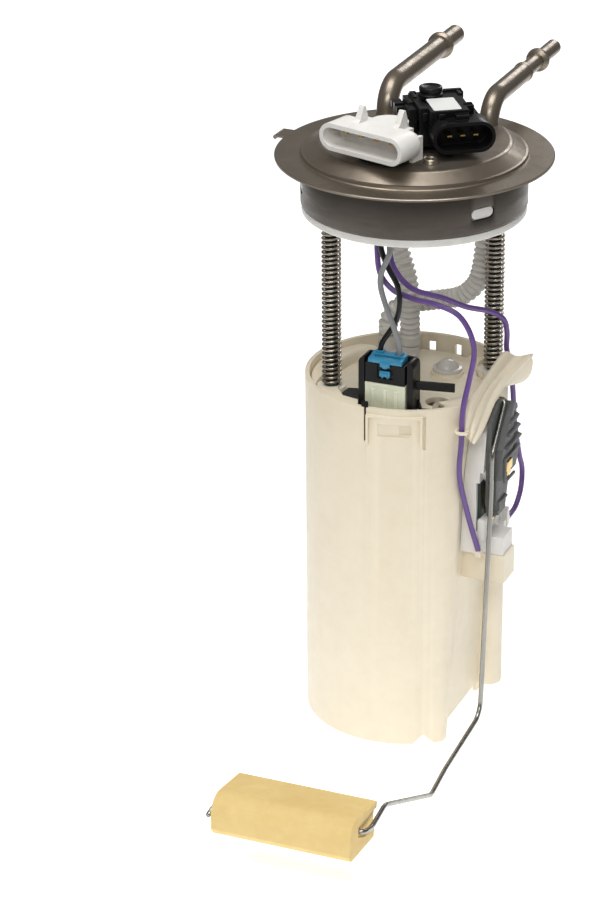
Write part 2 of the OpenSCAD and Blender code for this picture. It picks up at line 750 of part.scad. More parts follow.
module reservoir_can() {
  color(cream) difference() {
    union() {
      difference() {
        posted_shape(can_r, 0, can_low, rim_z, post_r);
        posted_shape(can_in_r, can_t, floor_top, rim_z + 1, post_r - can_t);
        can_shape(can_in_r, can_t, can_low - 1, floor_low);
        box([15, -27, can_low - 1], [60, 18, floor_low]);
      }
      rod_columns();
      sender_shelf();
      on_wall(-76.7, rim_z - 11) snap_frame();
      for (a = [72, 105]) on_wall(a, rim_z - 8) box([-3.4, -1, -8], [-1.4, 1, 7.4]);
    }
    // Rod passages and bushing pockets
    for (s = [-1, 1]) {
      post(s * rod_at, 5.2, rim_z - 70, rim_z);
      post(s * rod_at, bushing_r + fit / 2, bushing_low - 0.05, rim_z);
    }
    // Pocket of the shelf
    box([shelf_reach - 17, shelf_y + 2, shelf_low + 3], [shelf_reach - 2.2, shelf_y + shelf_w - 2, shelf_top + 1]);
    // Front snap tab: open slit, groove, window
    on_wall(-93.1, rim_z) box([-6, -0.6, -18], [3, 0.6, 1]);
    on_wall(-60.2, rim_z) box([-1, -0.6, -21], [3, 0.6, -3.4]);
    on_wall(-76.7, rim_z - 11) box([-1.1, -8.4, -3.6], [3, 8.4, 3.4]);
    on_wall(-70, rim_z - 11) box([-1.7, -3.6, -2.4], [3, 2.4, 2.6]);
    // Two windows at the back, below the rim
    on_wall(96.7, rim_z - 7) box([-6, -1.8, -2.8], [3, 1.8, 2.8]);
    on_wall(80.3, rim_z - 7) box([-6, -1.9, -3.2], [3, 1.9, 3.2]);
    // Notch beside the near foot
    on_wall(-59.5, can_low) rotate([45, 0, 0]) box([-5, -4, -4], [3, 4, 4]);
    // Inlet hole in the floor for the foot valve
    post(valve_at, 3, floor_low - 1, floor_top + 1);
  }
}

// Slightly raised border of the front snap tab
module snap_frame() {
  difference() {
    box([-2, -14.2, -8], [0.5, 14.2, 8]);
    box([-3, -13, -9], [2, 13, 6.8]);
  }
}

// Ramp that guards the sender and keeps the purple wires off it
module cable_guard() {
  outer = [[45.7, -33, -130.3], [48.2, -22, -124.4], [46.8, -11, -119.6], [48.4, -1, -114.1], [52.4, 9, -108.1],
    [57.5, 20, -103.5]];
  inner = [[41.6, -33, -127.5], [41.4, -30.5, -120.5], [41.2, -20, -116], [41.4, -8, -112.6], [41.6, 3, -108.8],
    [43.5, 12, -103.3]];
  color(cream) {
    difference() {
      union() {
        for (i = [0:4]) hull() for (p = [outer[i], outer[i + 1], inner[i], inner[i + 1]])
          translate(p) sphere(r = 1.1, $fn = 16);
        // Web under the flared end
        hull() for (p = [[56.4, 19.4, -104.6], [54.4, 17, -111.5], [48.2, -1, -115.4], [50.4, 5, -111.6]])
          translate(p) sphere(r = 0.8, $fn = 12);
      }
      posted_shape(can_r + fit, -fit, can_low, rim_z + fit, post_r + fit);
    }
    difference() {
      translate([panel_x, -16, shelf_top - 4]) rotate([0, panel_lean, 0]) translate([0.05, 0, 0]) union() {
        box([0, -17, 77.6], [3.6, 18, 88.6]);
      }
      post(rod_at, column_top_r + 0.4, rim_z - 40, rim_z + 10);
      corner_post(post_r + 0.1);
    }
    translate([40.75, -38.4, -126.5]) rotate_extrude($fn = 48) translate([2.9, 0]) circle(r = 0.9, $fn = 16);
    bar([43, -32.6, -128.6], [41.7, -35.9, -126.8], 0.9);
  }
}

// Plate under the rim that holds the pump and the wiring group
module pump_retainer() {
  z0 = rim_z - 10;
  r = can_in_r - 0.4;
  color(cream) difference() {
    union() {
      can_shape(can_in_r - 0.4, can_t + 0.5, z0, z0 + 3);
      // Smooth raised band round the front and the sides
      difference() {
        translate([can_at.x, can_at.y, 0]) rotate_extrude($fn = 120) polygon(concat(
          [[r - 12.4, z0 + 2], [r - 12, z0 + 6]], arc([r - 9, z0 + 5.8], 2.9, 176, 90, 5),
          [[r - 5, z0 + 8.5], [r - 1.4, z0 + 7.4], [r - 0.6, z0 + 6.6], [r - 0.6, z0 + 2]]
        ));
        outside_panel(can_t + 0.6);
        box([-40, 26, z0], [26, 60, z0 + 12]);
      }
      sleeve(pump_at, 10, 6.2, z0 - 14, z0 + 2);
      post([12, 18], 8.5, z0 + 2, z0 + 5);
      for (a = [30:60:330]) translate([can_at.x, can_at.y, z0 - 6]) rotate([0, 0, a]) translate([10, -0.9, 0])
        cube([26, 1.8, 7]);
    }
    post(pump_at, 6.2, z0 - 20, z0 + 10);
    post(-rod_at, column_r + 0.4, z0 - 20, z0 + 20);
    post(rod_at, column_top_r + 0.4, z0 - 20, z0 + 20);
    corner_post(post_r + 0.4);
    box([group_at.x - 12.4, -60, z0 - 20], [group_at.x + 12.4, -36, z0 + 20]);
    // Pockets round the two feet of the wiring bracket
    translate([group_at.x, group_at.y, z0 + 3.05]) linear_extrude(20)
      polygon([[-12.4, -10], [-16, 0], [-25, 2.2], [-31.4, 10.6], [-30, 21], [-21.6, 23.4], [-13, 19], [0, 19], [0, -10]]);
    translate([group_at.x, group_at.y, z0 + 3.05]) linear_extrude(20)
      polygon([[13.4, -10], [15.4, -4], [15.4, 0.4], [23, 1.8], [27, 8.4], [21.4, 12], [10, 12], [0, 10], [0, -10]]);
    post([-26, 32], 5.4, z0 - 20, z0 + 20);
    for (a = [72, 105]) on_wall(a, z0) box([-8, -2, -10], [3, 2, 20]);
    translate([can_at.x, can_at.y, z0 - 10]) rotate([0, 0, web_angle]) box([40, -1.5, 0], [60, 1.5, 30]);
    post([-26, 32], 7, z0 + 3.05, z0 + 20);
    // Open back, in front of the windows in the wall
    box([-14, 43.5, z0 - 1], [14, 60, z0 + 20]);
    translate([20, -18, z0 - 20]) cylinder(r = 6, h = 40);
    translate([-20, 6, z0 - 20]) cylinder(r = 5, h = 40);
  }
}

module rod_bushings() {
  color(white) for (s = [-1, 1]) sleeve(s * rod_at, bushing_r, rod_r + rod_gap, bushing_low, bushing_top);
}

// Clear dome over the pressure regulator seat
module valve_cap() {
  z0 = rim_z - 5;
  color([0.85, 0.86, 0.84]) translate([12, 18, z0 + 0.05]) difference() {
    rotate_extrude() polygon(concat([[0, 0], [7.5, 0], [7.5, 1.5], [6, 1.8]], arc([0, -0.5], 6.2, 20, 90, 10)));
    translate([0, 0, -1]) cylinder(r = 4.5, h = 4);
  }
}

module supply_fitting() {
  arm_z = rim_z - 2.3;
  top = rim_z + 3.9;
  a = [pump_at.x, pump_at.y, arm_z];
  b = [-10, 22, arm_z];
  color([0.86, 0.87, 0.84]) difference() {
    union() {
      post(pump_at, 5.6, rim_z - 16, arm_z + 4.6);
      bar(a, b, 4.2);
      post(b, 5, rim_z - 6.9, top);
    }
    post(pump_at, nozzle_r + fit, rim_z - 17, nozzle_top + 0.1);
    post(pump_at, 2.6, nozzle_top, arm_z + 2);
    bar(a, b, 2.2);
    post(b, 2.5, arm_z - 1, top + 1);
  }
}

module return_fitting() {
  color([0.86, 0.87, 0.84]) difference() {
    union() {
      post([-26, 32], 5, rim_z - 30, rim_z + 3.9);
      post([-26, 32], 6.6, rim_z - 6.9, rim_z - 4);
      post([-26, 32], 3.4, rim_z - 60, rim_z - 29);
    }
    post([-26, 32], 2.4, rim_z - 61, rim_z + 5);
  }
}

// Pump wiring group

module group_place() {
  translate([group_at.x, group_at.y, 0]) children();
}

// Black bridge over the pump plug, with its two feet and its side arm
module wiring_bracket() {
  z0 = rim_z - 6.9;
  top = plug_top + 1.5;
  color(black) group_place() {
    for (m = [0, 1]) mirror([m, 0, 0]) difference() {
      union() {
        box([11.3, -3.4, z0], [14.4, 6.6, top - 3]);
        box([-0.5, 5, z0 + 6], [12, 6.6, top]);
        translate([11.4, 6.6, top - 3]) rotate([90, 0, 0]) cylinder(r = 3, h = 10);
      }
      box([-1, -4, z0 + 8], [11.3, 5, top + 1]);
    }
    translate([0, 0, z0]) linear_extrude(2)
      polygon([[-14.2, 1.2], [-24, 3.2], [-30, 11], [-29, 19.5], [-22, 21.5], [-15, 18], [-14.2, 9]]);
    translate([0, 0, z0]) linear_extrude(2) polygon([[14.2, 1.2], [22, 2.6], [25.5, 8], [21, 10.5], [14.2, 9]]);
    translate([14.4, 1.6, z0 + 15]) rotate([0, 0, 10]) box([0, 0, 0], [19, 1.6, 4.2]);
    for (s = [-1, 1]) translate([s * 14.4 - 1, 3.3, z0]) rotate([90, 0, 90]) linear_extrude(2)
      polygon([[0, 0], [5.5, 0], [0, 9]]);
  }
}

module pump_header() {
  color([0.86, 0.9, 0.8]) group_place() difference() {
    union() {
      box([-10.6, -4.6, header_low], [10.6, 4.6, header_top]);
      for (x = [-6, 0, 6]) box([x - 1, -5.4, header_low], [x + 1, -4.4, header_top - 3]);
    }
    box([-9.2, -3.2, header_low + 5], [9.2, 3.2, header_top + 1]);
  }
}

module pump_plug() {
  color(black) group_place() {
    box([-9, -3, header_low + 6], [9, 3, header_top + 0.1]);
    difference() {
      box([-10.4, -4.3, header_top + 0.1], [10.4, 4, plug_top - 0.4]);
      box([-4, -5, header_top + 3], [4, -3.6, plug_top]);
    }
  }
}

module plug_lock() {
  z = plug_top - 0.3;
  color([0.2, 0.6, 0.8]) group_place() {
    difference() {
      box([-8.9, -4.6, z], [8.9, 4.4, z + 3.6]);
      box([-6.4, -5, z + 2.2], [6.4, -1.6, z + 5]);
      for (x = [-5, 5]) translate([x, 2, z - 1]) cylinder(r = 1.9, h = 8);
    }
    box([-3, -4.9, z - 6], [3, -4.45, z + 2]);
    box([-1.8, -5.5, z - 5.4], [1.8, -4.8, z - 3.4]);
  }
}

// Pump

module pump_sleeve() {
  color(cream) difference() {
    union() {
      sleeve(pump_at, pump_d / 2 + 4.4, pump_d / 2 + 2.4, floor_top + 0.05, pump_top - 8);
      sleeve(pump_at, pump_d / 2 + 7, pump_d / 2 + 2.4, floor_top + 0.05, floor_top + 2.5);
    }
    for (a = [0:90:270]) translate([pump_at.x, pump_at.y, floor_top - 1]) rotate([0, 0, a + 45])
      box([10, -6, 0], [40, 6, 13]);
    for (a = [0:90:270]) translate([pump_at.x, pump_at.y, pump_low + 20]) rotate([0, 0, a])
      box([10, -7, 0], [40, 7, 50]);
  }
}

module pump_shell() {
  color(steel) sleeve(pump_at, pump_d / 2, pump_d / 2 - 1.2, pump_low, pump_top);
}

module pump_inlet_cover() {
  r = pump_d / 2 - 1.2 - fit / 2;
  color(black) translate([pump_at.x, pump_at.y, pump_low]) difference() {
    union() {
      translate([0, 0, -4]) cylinder(r = pump_d / 2 - 1, h = 3.9);
      translate([0, 0, -0.1 - 4]) cylinder(r = r, h = 16);
      translate([9, 0, -13]) cylinder(r = 5, h = 10);
    }
    translate([0, 0, 2]) cylinder(r = 16, h = 5.4);
    translate([0, 0, -1]) cylinder(r = shaft_d / 2 + rod_gap, h = 20);
    translate([9, 0, -14]) cylinder(r = 3.4, h = 17);
    translate([-9, 6, 4]) cylinder(r = 2.5, h = 20);
  }
}

module pump_outlet_cover() {
  r = pump_d / 2 - 1.2 - fit / 2;
  color(black) translate([pump_at.x, pump_at.y, pump_top]) difference() {
    union() {
      translate([0, 0, -12]) cylinder(r = r, h = 12.1);
      cylinder(r = pump_d / 2 - 1, h = 4);
      translate([0, 0, 3]) cylinder(r1 = 12, r2 = 8, h = 5);
      cylinder(r = nozzle_r, h = nozzle_top - pump_top);
      for (s = [-1, 1]) translate([s * 11, 6, 0]) cylinder(r = 2.6, h = 10);
    }
    translate([0, 0, -13]) cylinder(r = 12, h = 8);
    translate([0, 0, -13]) cylinder(r = shaft_d / 2 + rod_gap, h = 13);
    translate([0, 8, -13]) cylinder(r = 2, h = 12);
    translate([0, 0, 1.5]) cylinder(r = 1.8, h = 60);
    translate([0, 4, -1]) rotate([-20, 0, 0]) cylinder(r = 1.6, h = 9);
    translate([0, 0, nozzle_top - pump_top - 9]) cylinder(r = 2.9, h = 10);
  }
}

module pump_magnets() {
  color(gray) translate([pump_at.x, pump_at.y, pump_low + 22]) difference() {
    cylinder(r = pump_d / 2 - 1.25, h = 46);
    translate([0, 0, -1]) cylinder(r = armature_d / 2 + 0.6, h = 48);
    for (s = [-1, 1]) translate([s * 12, 0, 23]) cube([24, 7, 60], center = true);
  }
}

module pump_brushes() {
  z = pump_top - 17;
  color([0.3, 0.28, 0.26]) translate([pump_at.x, pump_at.y, z]) for (s = [-1, 1])
    difference() {
      translate([s * 10.5 - 2.5, -2.2, -2.2]) cube([5, 4.4, 4.4]);
      translate([0, 0, -5]) cylinder(r = 8.1, h = 12);
    }
  color(black) translate([pump_at.x, pump_at.y, z - 3]) difference() {
    cylinder(r = pump_d / 2 - 1.3, h = 7.8);
    translate([0, 0, -1]) cylinder(r = 12, h = 12);
    for (s = [-1, 1]) translate([s * 12, 0, 0]) cube([8, 4.8, 20], center = true);
  }
}

module isolator_top() {
  color(black) difference() {
    sleeve(pump_at, pump_d / 2 + 2.3, pump_d / 2 + 0.05, pump_top - 14, pump_top - 8.2);
    for (a = [0:30:330]) translate([pump_at.x, pump_at.y, 0]) rotate([0, 0, a]) post([pump_d / 2 + 2.6, 0], 1, pump_top - 20, pump_top);
  }
}

module isolator_bottom() {
  color(black) difference() {
    sleeve(pump_at, pump_d / 2 + 2.3, pump_d / 2 - 0.95, pump_low - 6, pump_low + 4);
    post(pump_at, pump_d / 2 + 0.05, pump_low - 4.1, pump_low + 5);
  }
}

// Fabric strainer on the pump's inlet, drawn as its plain closed outline
module inlet_strainer() {
  color([0.85, 0.85, 0.8]) translate([pump_at.x + 9, pump_at.y, floor_top + 0.3]) difference() {
    union() {
      linear_extrude(5) stadium(24, 15);
      cylinder(r = 6.6, h = 10);
    }
    translate([0, 0, 5.2]) cylinder(r = 5.05, h = 10);
  }
}

// Rubber mushroom valve in the floor
module foot_valve() {
  color(black) translate([valve_at.x, valve_at.y, 0]) {
    translate([0, 0, floor_top + 0.05]) cylinder(r1 = 7, r2 = 5, h = 1.2);
    translate([0, 0, floor_low - 1.4]) cylinder(r = 2.9, h = floor_t + 2.2);
    translate([0, 0, floor_low - 2.6]) cylinder(r1 = 2.4, r2 = 3.9, h = 2.4);
  }
}

// Turning parts of the pump

module armature() {
  color([0.6, 0.35, 0.2]) translate([pump_at.x, pump_at.y, pump_low + 26]) difference() {
    cylinder(r = armature_d / 2, h = 38);
    translate([0, 0, -1]) cylinder(r = shaft_d / 2 + 0.01, h = 40);
    for (a = [0:360 / armature_teeth:359]) rotate([0, 0, a]) {
      translate([armature_d / 2 - 4, 0, -1]) cylinder(r = 1.5, h = 40, $fn = 24);
      translate([armature_d / 2 - 4, -0.8, -1]) cube([6, 1.6, 40]);
    }
  }
}

module pump_shaft() {
  color([0.7, 0.7, 0.72]) post(pump_at, shaft_d / 2, pump_low - 0.9, pump_top - 0.2);
}

module commutator() {
  color([0.72, 0.45, 0.2]) translate([pump_at.x, pump_at.y, pump_top - 22]) difference() {
    union() {
      cylinder(r = 8, h = 9);
      cylinder(r = 9.6, h = 1.6);
    }
    translate([0, 0, -1]) cylinder(r = shaft_d / 2 + 0.01, h = 12);
    for (a = [0:45:315]) rotate([0, 0, a]) translate([6.6, -0.25, -1]) cube([4, 0.5, 12]);
  }
}

module impeller() {
  color([0.55, 0.5, 0.4]) translate([pump_at.x, pump_at.y, pump_low + 2.6]) difference() {
    cylinder(r = 15.4, h = 4.2);
    translate([0, 0, -1]) cylinder(r = shaft_d / 2 + 0.01, h = 8);
    for (i = [0:vanes - 1]) rotate([0, 0, 360 * i / vanes]) translate([12.4, -0.9, -1]) cube([4, 1.8, 8]);
  }
}

// Outlet check valve in the pump's nozzle
module check_poppet() {
  z = nozzle_top - 9 + 0.05;
  color(black) translate([pump_at.x, pump_at.y, z]) {
    cylinder(r = 2.6, h = 1.2);
    translate([0, 0, 1.1]) cylinder(r1 = 2.2, r2 = 1.2, h = 3);
    for (a = [0:90:270]) rotate([0, 0, a]) box([0, -0.4, 1], [2.6, 0.4, 5]);
  }
}

// Level sender

module sender_housing() {
  y0 = -24.5;
  color(white) difference() {
    union() {
      difference() {
        union() {
          // Upright plate, leaning against the flat side
          translate([34, 0, 0]) rotate([90, 0, 90]) linear_extrude(housing_out - 34)
            polygon([[y0, -155], [-20, -134], [-14, -129.4], [2, -129.4], [8, -137], [9, -180], [9, -199], [y0, -199]]);
          // Foot in the shelf's pocket
          box([shelf_reach - 16.7, shelf_y + 2.1, shelf_low + 3.1], [shelf_reach - 2.3, shelf_y + shelf_w - 2.1, shelf_top + 6]);
          box([36, shelf_y + 0.4, shelf_top + 0.1], [shelf_reach - 1, shelf_y + shelf_w - 1, shelf_top + 10]);
          for (y = [0, 5]) box([40, y, -196], [housing_out + 3, y + 3, -191 + y]);
        }
        outside_shift();
        // Bay behind the resistor card, open to the near side
        box([43.8, y0 - 1, -187], [45.6, 5, -160]);
        wiper_bay();
      }
      // Pivot post for the rotor
      translate([housing_out - 2, pivot_at.x, pivot_at.y]) rotate([0, 90, 0]) cylinder(d = pivot_d, h = 8.2);
    }
    translate([shelf_reach - 20, shelf_y + 2, shelf_low]) cube([3, 20, 18], center = false);
  }
}

// Round bay that the wiper sweeps through, open to the near side
module wiper_bay() {
  intersection() {
    translate([45.5, pivot_at.x, pivot_at.y]) rotate([0, 90, 0]) difference() {
      cylinder(r = 33.4, h = 3);
      translate([0, 0, -1]) cylinder(r = 9.6, h = 5);
    }
    box([45, -26, -188], [49, 4, pivot_at.y - 0.2]);
  }
}

// Removes what lies inside the leaning panel
module outside_shift() {
  difference() {
    box([20, -60, -240], [45, 60, -100]);
    outside_panel(-0.25);
  }
}

module sender_card() {
  color([0.12, 0.16, 0.14]) box([43.9, -22.5, -186.9], [45.4, 4.9, -160.1]);
}

// Crimped terminals where the purple wires end
module sender_terminals() {
  color([0.8, 0.72, 0.5]) {
    box([44.2, -26.4, -200.4], [47.2, -24.6, -196.8]);
    box([43.4, 9.1, -200], [46.4, 20.6, -197.2]);
    box([43.4, 9.1, -200], [46.4, 10.4, -190]);
  }
}

// Grey rotor: base plate, raised block with ribs, and the clip for the wire
module sender_rotor() {
  plate = [[-21, -128], [-11, -121.5], [-3, -120.6], [2, -124], [4, -134], [6, -142], [5, -154], [-2, -166],
    [-6, -176], [-8, -180], [-19, -180], [-22.5, -172], [-21.5, -150]];
  block = [[-3.4, -121.8], [1, -124.5], [3, -134], [5, -142], [4, -152], [-3, -163], [-8, -179], [-18, -179],
    [-21.6, -170], [-21.4, -146], [-19.6, -142.4]];
  color(gray) difference() {
    union() {
      translate([rotor_in, 0, 0]) rotate([90, 0, 90]) linear_extrude(plate_t) polygon(plate);
      difference() {
        translate([rotor_in + plate_t - 0.1, 0, 0]) rotate([90, 0, 90]) linear_extrude(rotor_out - rotor_in - plate_t)
          polygon(block);
        // Lower half is thinner, with a sloping step
        box([rotor_out - 2.6, -26, -182], [rotor_out + 1, 8, -158]);
        // Gaps between the ribs
        for (z = [-128.5, -134.5, -140.5, -146.5]) box([rotor_out - 2.4, -4, z - 1.4], [rotor_out + 1, 8, z + 1.4]);
        for (z = [-128.5, -134.5, -140.5]) box([rotor_in + plate_t + 0.4, 0.4, z - 1], [rotor_out, 8, z + 1]);
        // Recess round the pivot
        translate([rotor_out - 2.6, pivot_at.x, pivot_at.y]) rotate([0, 90, 0]) cylinder(r = 5, h = 5);
        // Passage of the wire on the near side
        wire_passage(arm_d / 2 + 0.12);
      }
      translate([rotor_in + 1, -19.4, -176]) cube([5.6, 3, 5]);
    }
    translate([rotor_in - 1, pivot_at.x, pivot_at.y]) rotate([0, 90, 0]) cylinder(d = pivot_d + 2 * rod_gap, h = 12);
    translate([rotor_in - 1, arm_path[0].x, arm_path[0].y]) rotate([0, 90, 0]) cylinder(d = arm_d + 0.2, h = 4);
    wire_passage(arm_d / 2 + 0.12);
  }
}

// Space that the first two stretches of the wire take
module wire_passage(r) {
  for (i = [0:1]) bar([arm_x, arm_path[i].x, arm_path[i].y], [arm_x, arm_path[i + 1].x, arm_path[i + 1].y], r);
  for (i = [0:2]) translate([arm_x, arm_path[i].x, arm_path[i].y]) sphere(r = r);
}

// Brass clip that holds the rotor on its pivot
module pivot_clip() {
  color([0.75, 0.55, 0.2]) translate([rotor_out - 2.55, pivot_at.x, pivot_at.y]) rotate([0, 90, 0]) difference() {
    cylinder(r = 4.4, h = 0.8);
    translate([0, 0, -1]) cylinder(d = pivot_d + 0.1, h = 3);
    translate([0, -0.6, -1]) cube([6, 1.2, 3]);
  }
}

// Spring fingers that run on the card, riveted to the rotor's back
module wiper_contact() {
  color([0.75, 0.55, 0.2]) {
    box([45.65, -15.4, -184], [46.1, -12.4, -165]);
    box([45.65, -9.6, -184], [46.1, -6.6, -165]);
    box([45.65, -15.4, -186], [46.1, -6.6, -183.9]);
    box([46, -14, -186], [46.5, -8, -185.5]);
    box([46.4, -14, -186], [47.75, -8, -184.8]);
  }
}

module float_arm_wire() {
  color([0.6, 0.6, 0.58]) sweep(rounded(wire_corners(), 3), arm_d / 2, 12);
}

// Foam float: flat top, round front, sharp lower edge
module float() {
  back = float_w * 0.62;
  front = back - float_w;
  top = float_h * 0.42;
  low = top - float_h;
  outline = concat(
    [[back, top - 1], [back - 1, top], [front + 8, top]],
    arc([front + 8, top - 9], 9, 90, 180, 8),
    [[front - 0.4, low + 3], [front + 2.4, low], [front + 4, low], [back - 2, low + 2]]
  );
  color([0.86, 0.74, 0.45]) translate([0, float_hole.x, float_hole.y]) rotate([-float_tilt, 0, 0]) difference() {
    translate([float_left, 0, 0]) rotate([90, 0, 90]) linear_extrude(float_l) polygon(outline);
    translate([float_left - 1, 0, 0]) rotate([0, 90, 0]) cylinder(r = arm_d / 2 + 0.08, h = float_l + 2);
    // Recess that locks the wire's last bend
    translate([float_right - 1.2, 0, 0]) rotate([90, 0, 90]) linear_extrude(3)
      polygon([[-2.6, -2], [-2.6, 3], [back + 2, 5], [back + 2, -5.5], [6, -5]]);
  }
}

cover_plate();
cover_skirt();
carrier_ring();
supply_tube();
return_tube();
connector_shell();
connector_gasket();
connector_blades();
sensor_body();
sensor_cap();
sensor_blades();
sensor_clip();
sensor_grommet();
cover_rivets();
guide_rod_left();
guide_rod_right();
rod_clips();
spring_left();
spring_right();
supply_hose();
return_hose();
wire_black();
wire_gray();
wire_purple_front();
wire_purple_back();
reservoir_can();
cable_guard();
pump_retainer();
rod_bushings();
valve_cap();
supply_fitting();
return_fitting();
wiring_bracket();
pump_header();
pump_plug();
plug_lock();
pump_sleeve();
pump_shell();
pump_inlet_cover();
pump_outlet_cover();
pump_magnets();
pump_brushes();
isolator_top();
isolator_bottom();
inlet_strainer();
foot_valve();
armature();
pump_shaft();
commutator();
impeller();
check_poppet();
sender_housing();
sender_card();
sender_terminals();
sender_rotor();
pivot_clip();
wiper_contact();
float_arm_wire();
float();
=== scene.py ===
"""Looks of the fuel pump module: camera, cords, springs, detailed pieces and materials on the frame."""

import json
import math

import bmesh
import bpy
from mathutils import Matrix, Vector


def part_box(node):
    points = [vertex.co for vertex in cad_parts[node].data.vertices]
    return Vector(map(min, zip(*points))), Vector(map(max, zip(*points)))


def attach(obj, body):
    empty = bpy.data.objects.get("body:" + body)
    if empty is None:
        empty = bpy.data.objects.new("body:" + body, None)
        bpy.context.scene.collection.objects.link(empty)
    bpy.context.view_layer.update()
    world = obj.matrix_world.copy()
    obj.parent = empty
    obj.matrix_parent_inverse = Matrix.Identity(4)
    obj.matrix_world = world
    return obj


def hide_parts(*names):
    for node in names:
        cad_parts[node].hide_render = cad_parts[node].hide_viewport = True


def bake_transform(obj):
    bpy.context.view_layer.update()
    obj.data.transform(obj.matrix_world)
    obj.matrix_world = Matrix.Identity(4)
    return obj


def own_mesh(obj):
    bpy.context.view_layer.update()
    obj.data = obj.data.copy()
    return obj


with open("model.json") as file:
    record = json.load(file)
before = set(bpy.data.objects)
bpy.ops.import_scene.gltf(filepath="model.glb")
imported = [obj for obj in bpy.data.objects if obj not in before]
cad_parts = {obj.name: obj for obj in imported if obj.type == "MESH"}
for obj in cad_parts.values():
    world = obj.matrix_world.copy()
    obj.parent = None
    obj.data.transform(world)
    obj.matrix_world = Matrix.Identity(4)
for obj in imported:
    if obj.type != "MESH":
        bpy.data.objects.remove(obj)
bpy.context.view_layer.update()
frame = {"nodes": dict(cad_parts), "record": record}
NODES = frame["nodes"]


def mm(*p):
    """Point given in millimetres, as a vector in metres."""
    p = p[0] if len(p) == 1 else p
    return Vector(p) / 1000.0


# Camera, fitted to the photograph: turn, height and roll of the view in degrees, the point aimed at in
# millimetres, shift to the right and distance in metres
VIEW_TURN, VIEW_HEIGHT, VIEW_ROLL = 23.0, 24.343, -0.453
VIEW_POINT, VIEW_SHIFT, VIEW_DISTANCE = (0, 0, -158.674), -0.056124, 1.666943
LENS = 130.57


def facing(turn, height):
    """Direction from the object's front, turned to the right and raised, both in radians."""
    return Vector((math.sin(turn) * math.cos(height), -math.cos(turn) * math.cos(height), math.sin(height)))


def add_camera():
    turn, height, roll = math.radians(VIEW_TURN), math.radians(VIEW_HEIGHT), math.radians(VIEW_ROLL)
    back = facing(turn, height)
    right = Vector((math.cos(turn), math.sin(turn), 0.0))
    up = back.cross(right)
    x = math.cos(roll) * right + math.sin(roll) * up
    y = -math.sin(roll) * right + math.cos(roll) * up
    data = bpy.data.cameras.new("camera")
    data.sensor_width = 36.0
    data.sensor_fit = "AUTO"
    data.lens = LENS
    data.clip_end = 20.0
    camera = bpy.data.objects.new("camera", data)
    bpy.context.collection.objects.link(camera)
    place = Matrix((x, y, back)).transposed().to_4x4()
    place.translation = mm(VIEW_POINT) + right * VIEW_SHIFT + back * VIEW_DISTANCE
    camera.matrix_world = place
    bpy.context.scene.camera = camera


add_camera()

# Cords: routes of the solids, repeated in millimetres

BLACK_ROUTE = [
    (-3, -36, -25), (-3, -37, -36), (1, -37.5, -46), (6, -37.5, -55), (7, -37.5, -66), (4, -37.5, -76),
    (-1.4, -39.2, -85.4), (-2, -40, -92.6),
]
GRAY_ROUTE = [
    (1, -35.8, -25), (1.8, -37, -31), (2.5, -39.8, -38), (-1, -41, -47.5), (-1.5, -41, -55),
    (1.5, -41.5, -64.5), (6, -42.2, -75), (8.3, -40.7, -85), (8, -40, -92.6),
]
PURPLE_FRONT_ROUTE = [
    (-6.5, -33, -25), (-6.5, -33, -40), (-5, -32.5, -52), (1.5, -33, -59), (8, -33.5, -61),
    (16, -35.5, -61.5), (27, -37, -62), (37, -36, -66), (43, -35, -75), (45, -34, -86), (43, -35, -100),
    (41, -38, -115), (40.6, -38.6, -132.5), (39.4, -37.4, -151), (41.5, -32, -172), (46, -26.6, -195.9),
]
PURPLE_BACK_ROUTE = [
    (-1, -31, -25), (0, -32, -42), (4, -31, -52), (11, -27, -60), (23, -20, -65), (31, -8, -73), (38, 7, -80),
    (43, 14, -86), (44, 17, -94), (43.6, 18, -103), (44, 21.5, -112), (44, 27.5, -128), (43.6, 33, -150),
    (43.6, 41, -171), (44.2, 44.6, -181), (45, 41, -190.6), (45, 34, -197.2), (45, 27, -198.6),
    (45, 20.9, -198.6),
]
SUPPLY_HOSE_ROUTE = [
    (-27, 32, -37), (-26.5, 30.5, -44), (-22, 27, -52), (-16, 23, -62), (-11, 21, -76), (-10, 21, -92),
    (-10, 22, -104), (-10, 22, -110.6),
]
RETURN_HOSE_ROUTE = [
    (26, 35, -37), (25.8, 33.8, -50), (25, 32.4, -64), (22.6, 32, -75), (17, 32, -82), (10, 32, -86),
    (0, 33, -89), (-10, 34, -92), (-19, 34, -95), (-24, 33, -100), (-26, 32, -106), (-26, 32, -110.5),
]
# Sizes of hoses and wires and of their ribs, in metres
WIRE_D, HOSE_D = 0.0028, 0.0106
RIB_DEPTH, RIB_PITCH = 0.0014, 0.0031
# Points along one rib and without ribs at each end, flatness of a rib's top, depth of the plain ends
RIB_STEPS, PLAIN_STEPS = 8, 10
RIB_POWER, PLAIN_SHARE = 0.45, 0.3
HOSE_SIDES, WIRE_SIDES = 24, 14


def smooth(points, steps):
    """Smooth curve through the points, the same as in the solids."""
    p = [mm(q) for q in points]
    out = []
    for i in range(len(p) - 1):
        a, b, c, d = p[max(i - 1, 0)], p[i], p[i + 1], p[min(i + 2, len(p) - 1)]
        for j in range(steps):
            t = j / steps
            bend = (2 * a - 5 * b + 4 * c - d) * t * t
            out.append(0.5 * (2 * b + (c - a) * t + bend + (3 * b - a - 3 * c + d) * t**3))
    return out + [p[-1]]


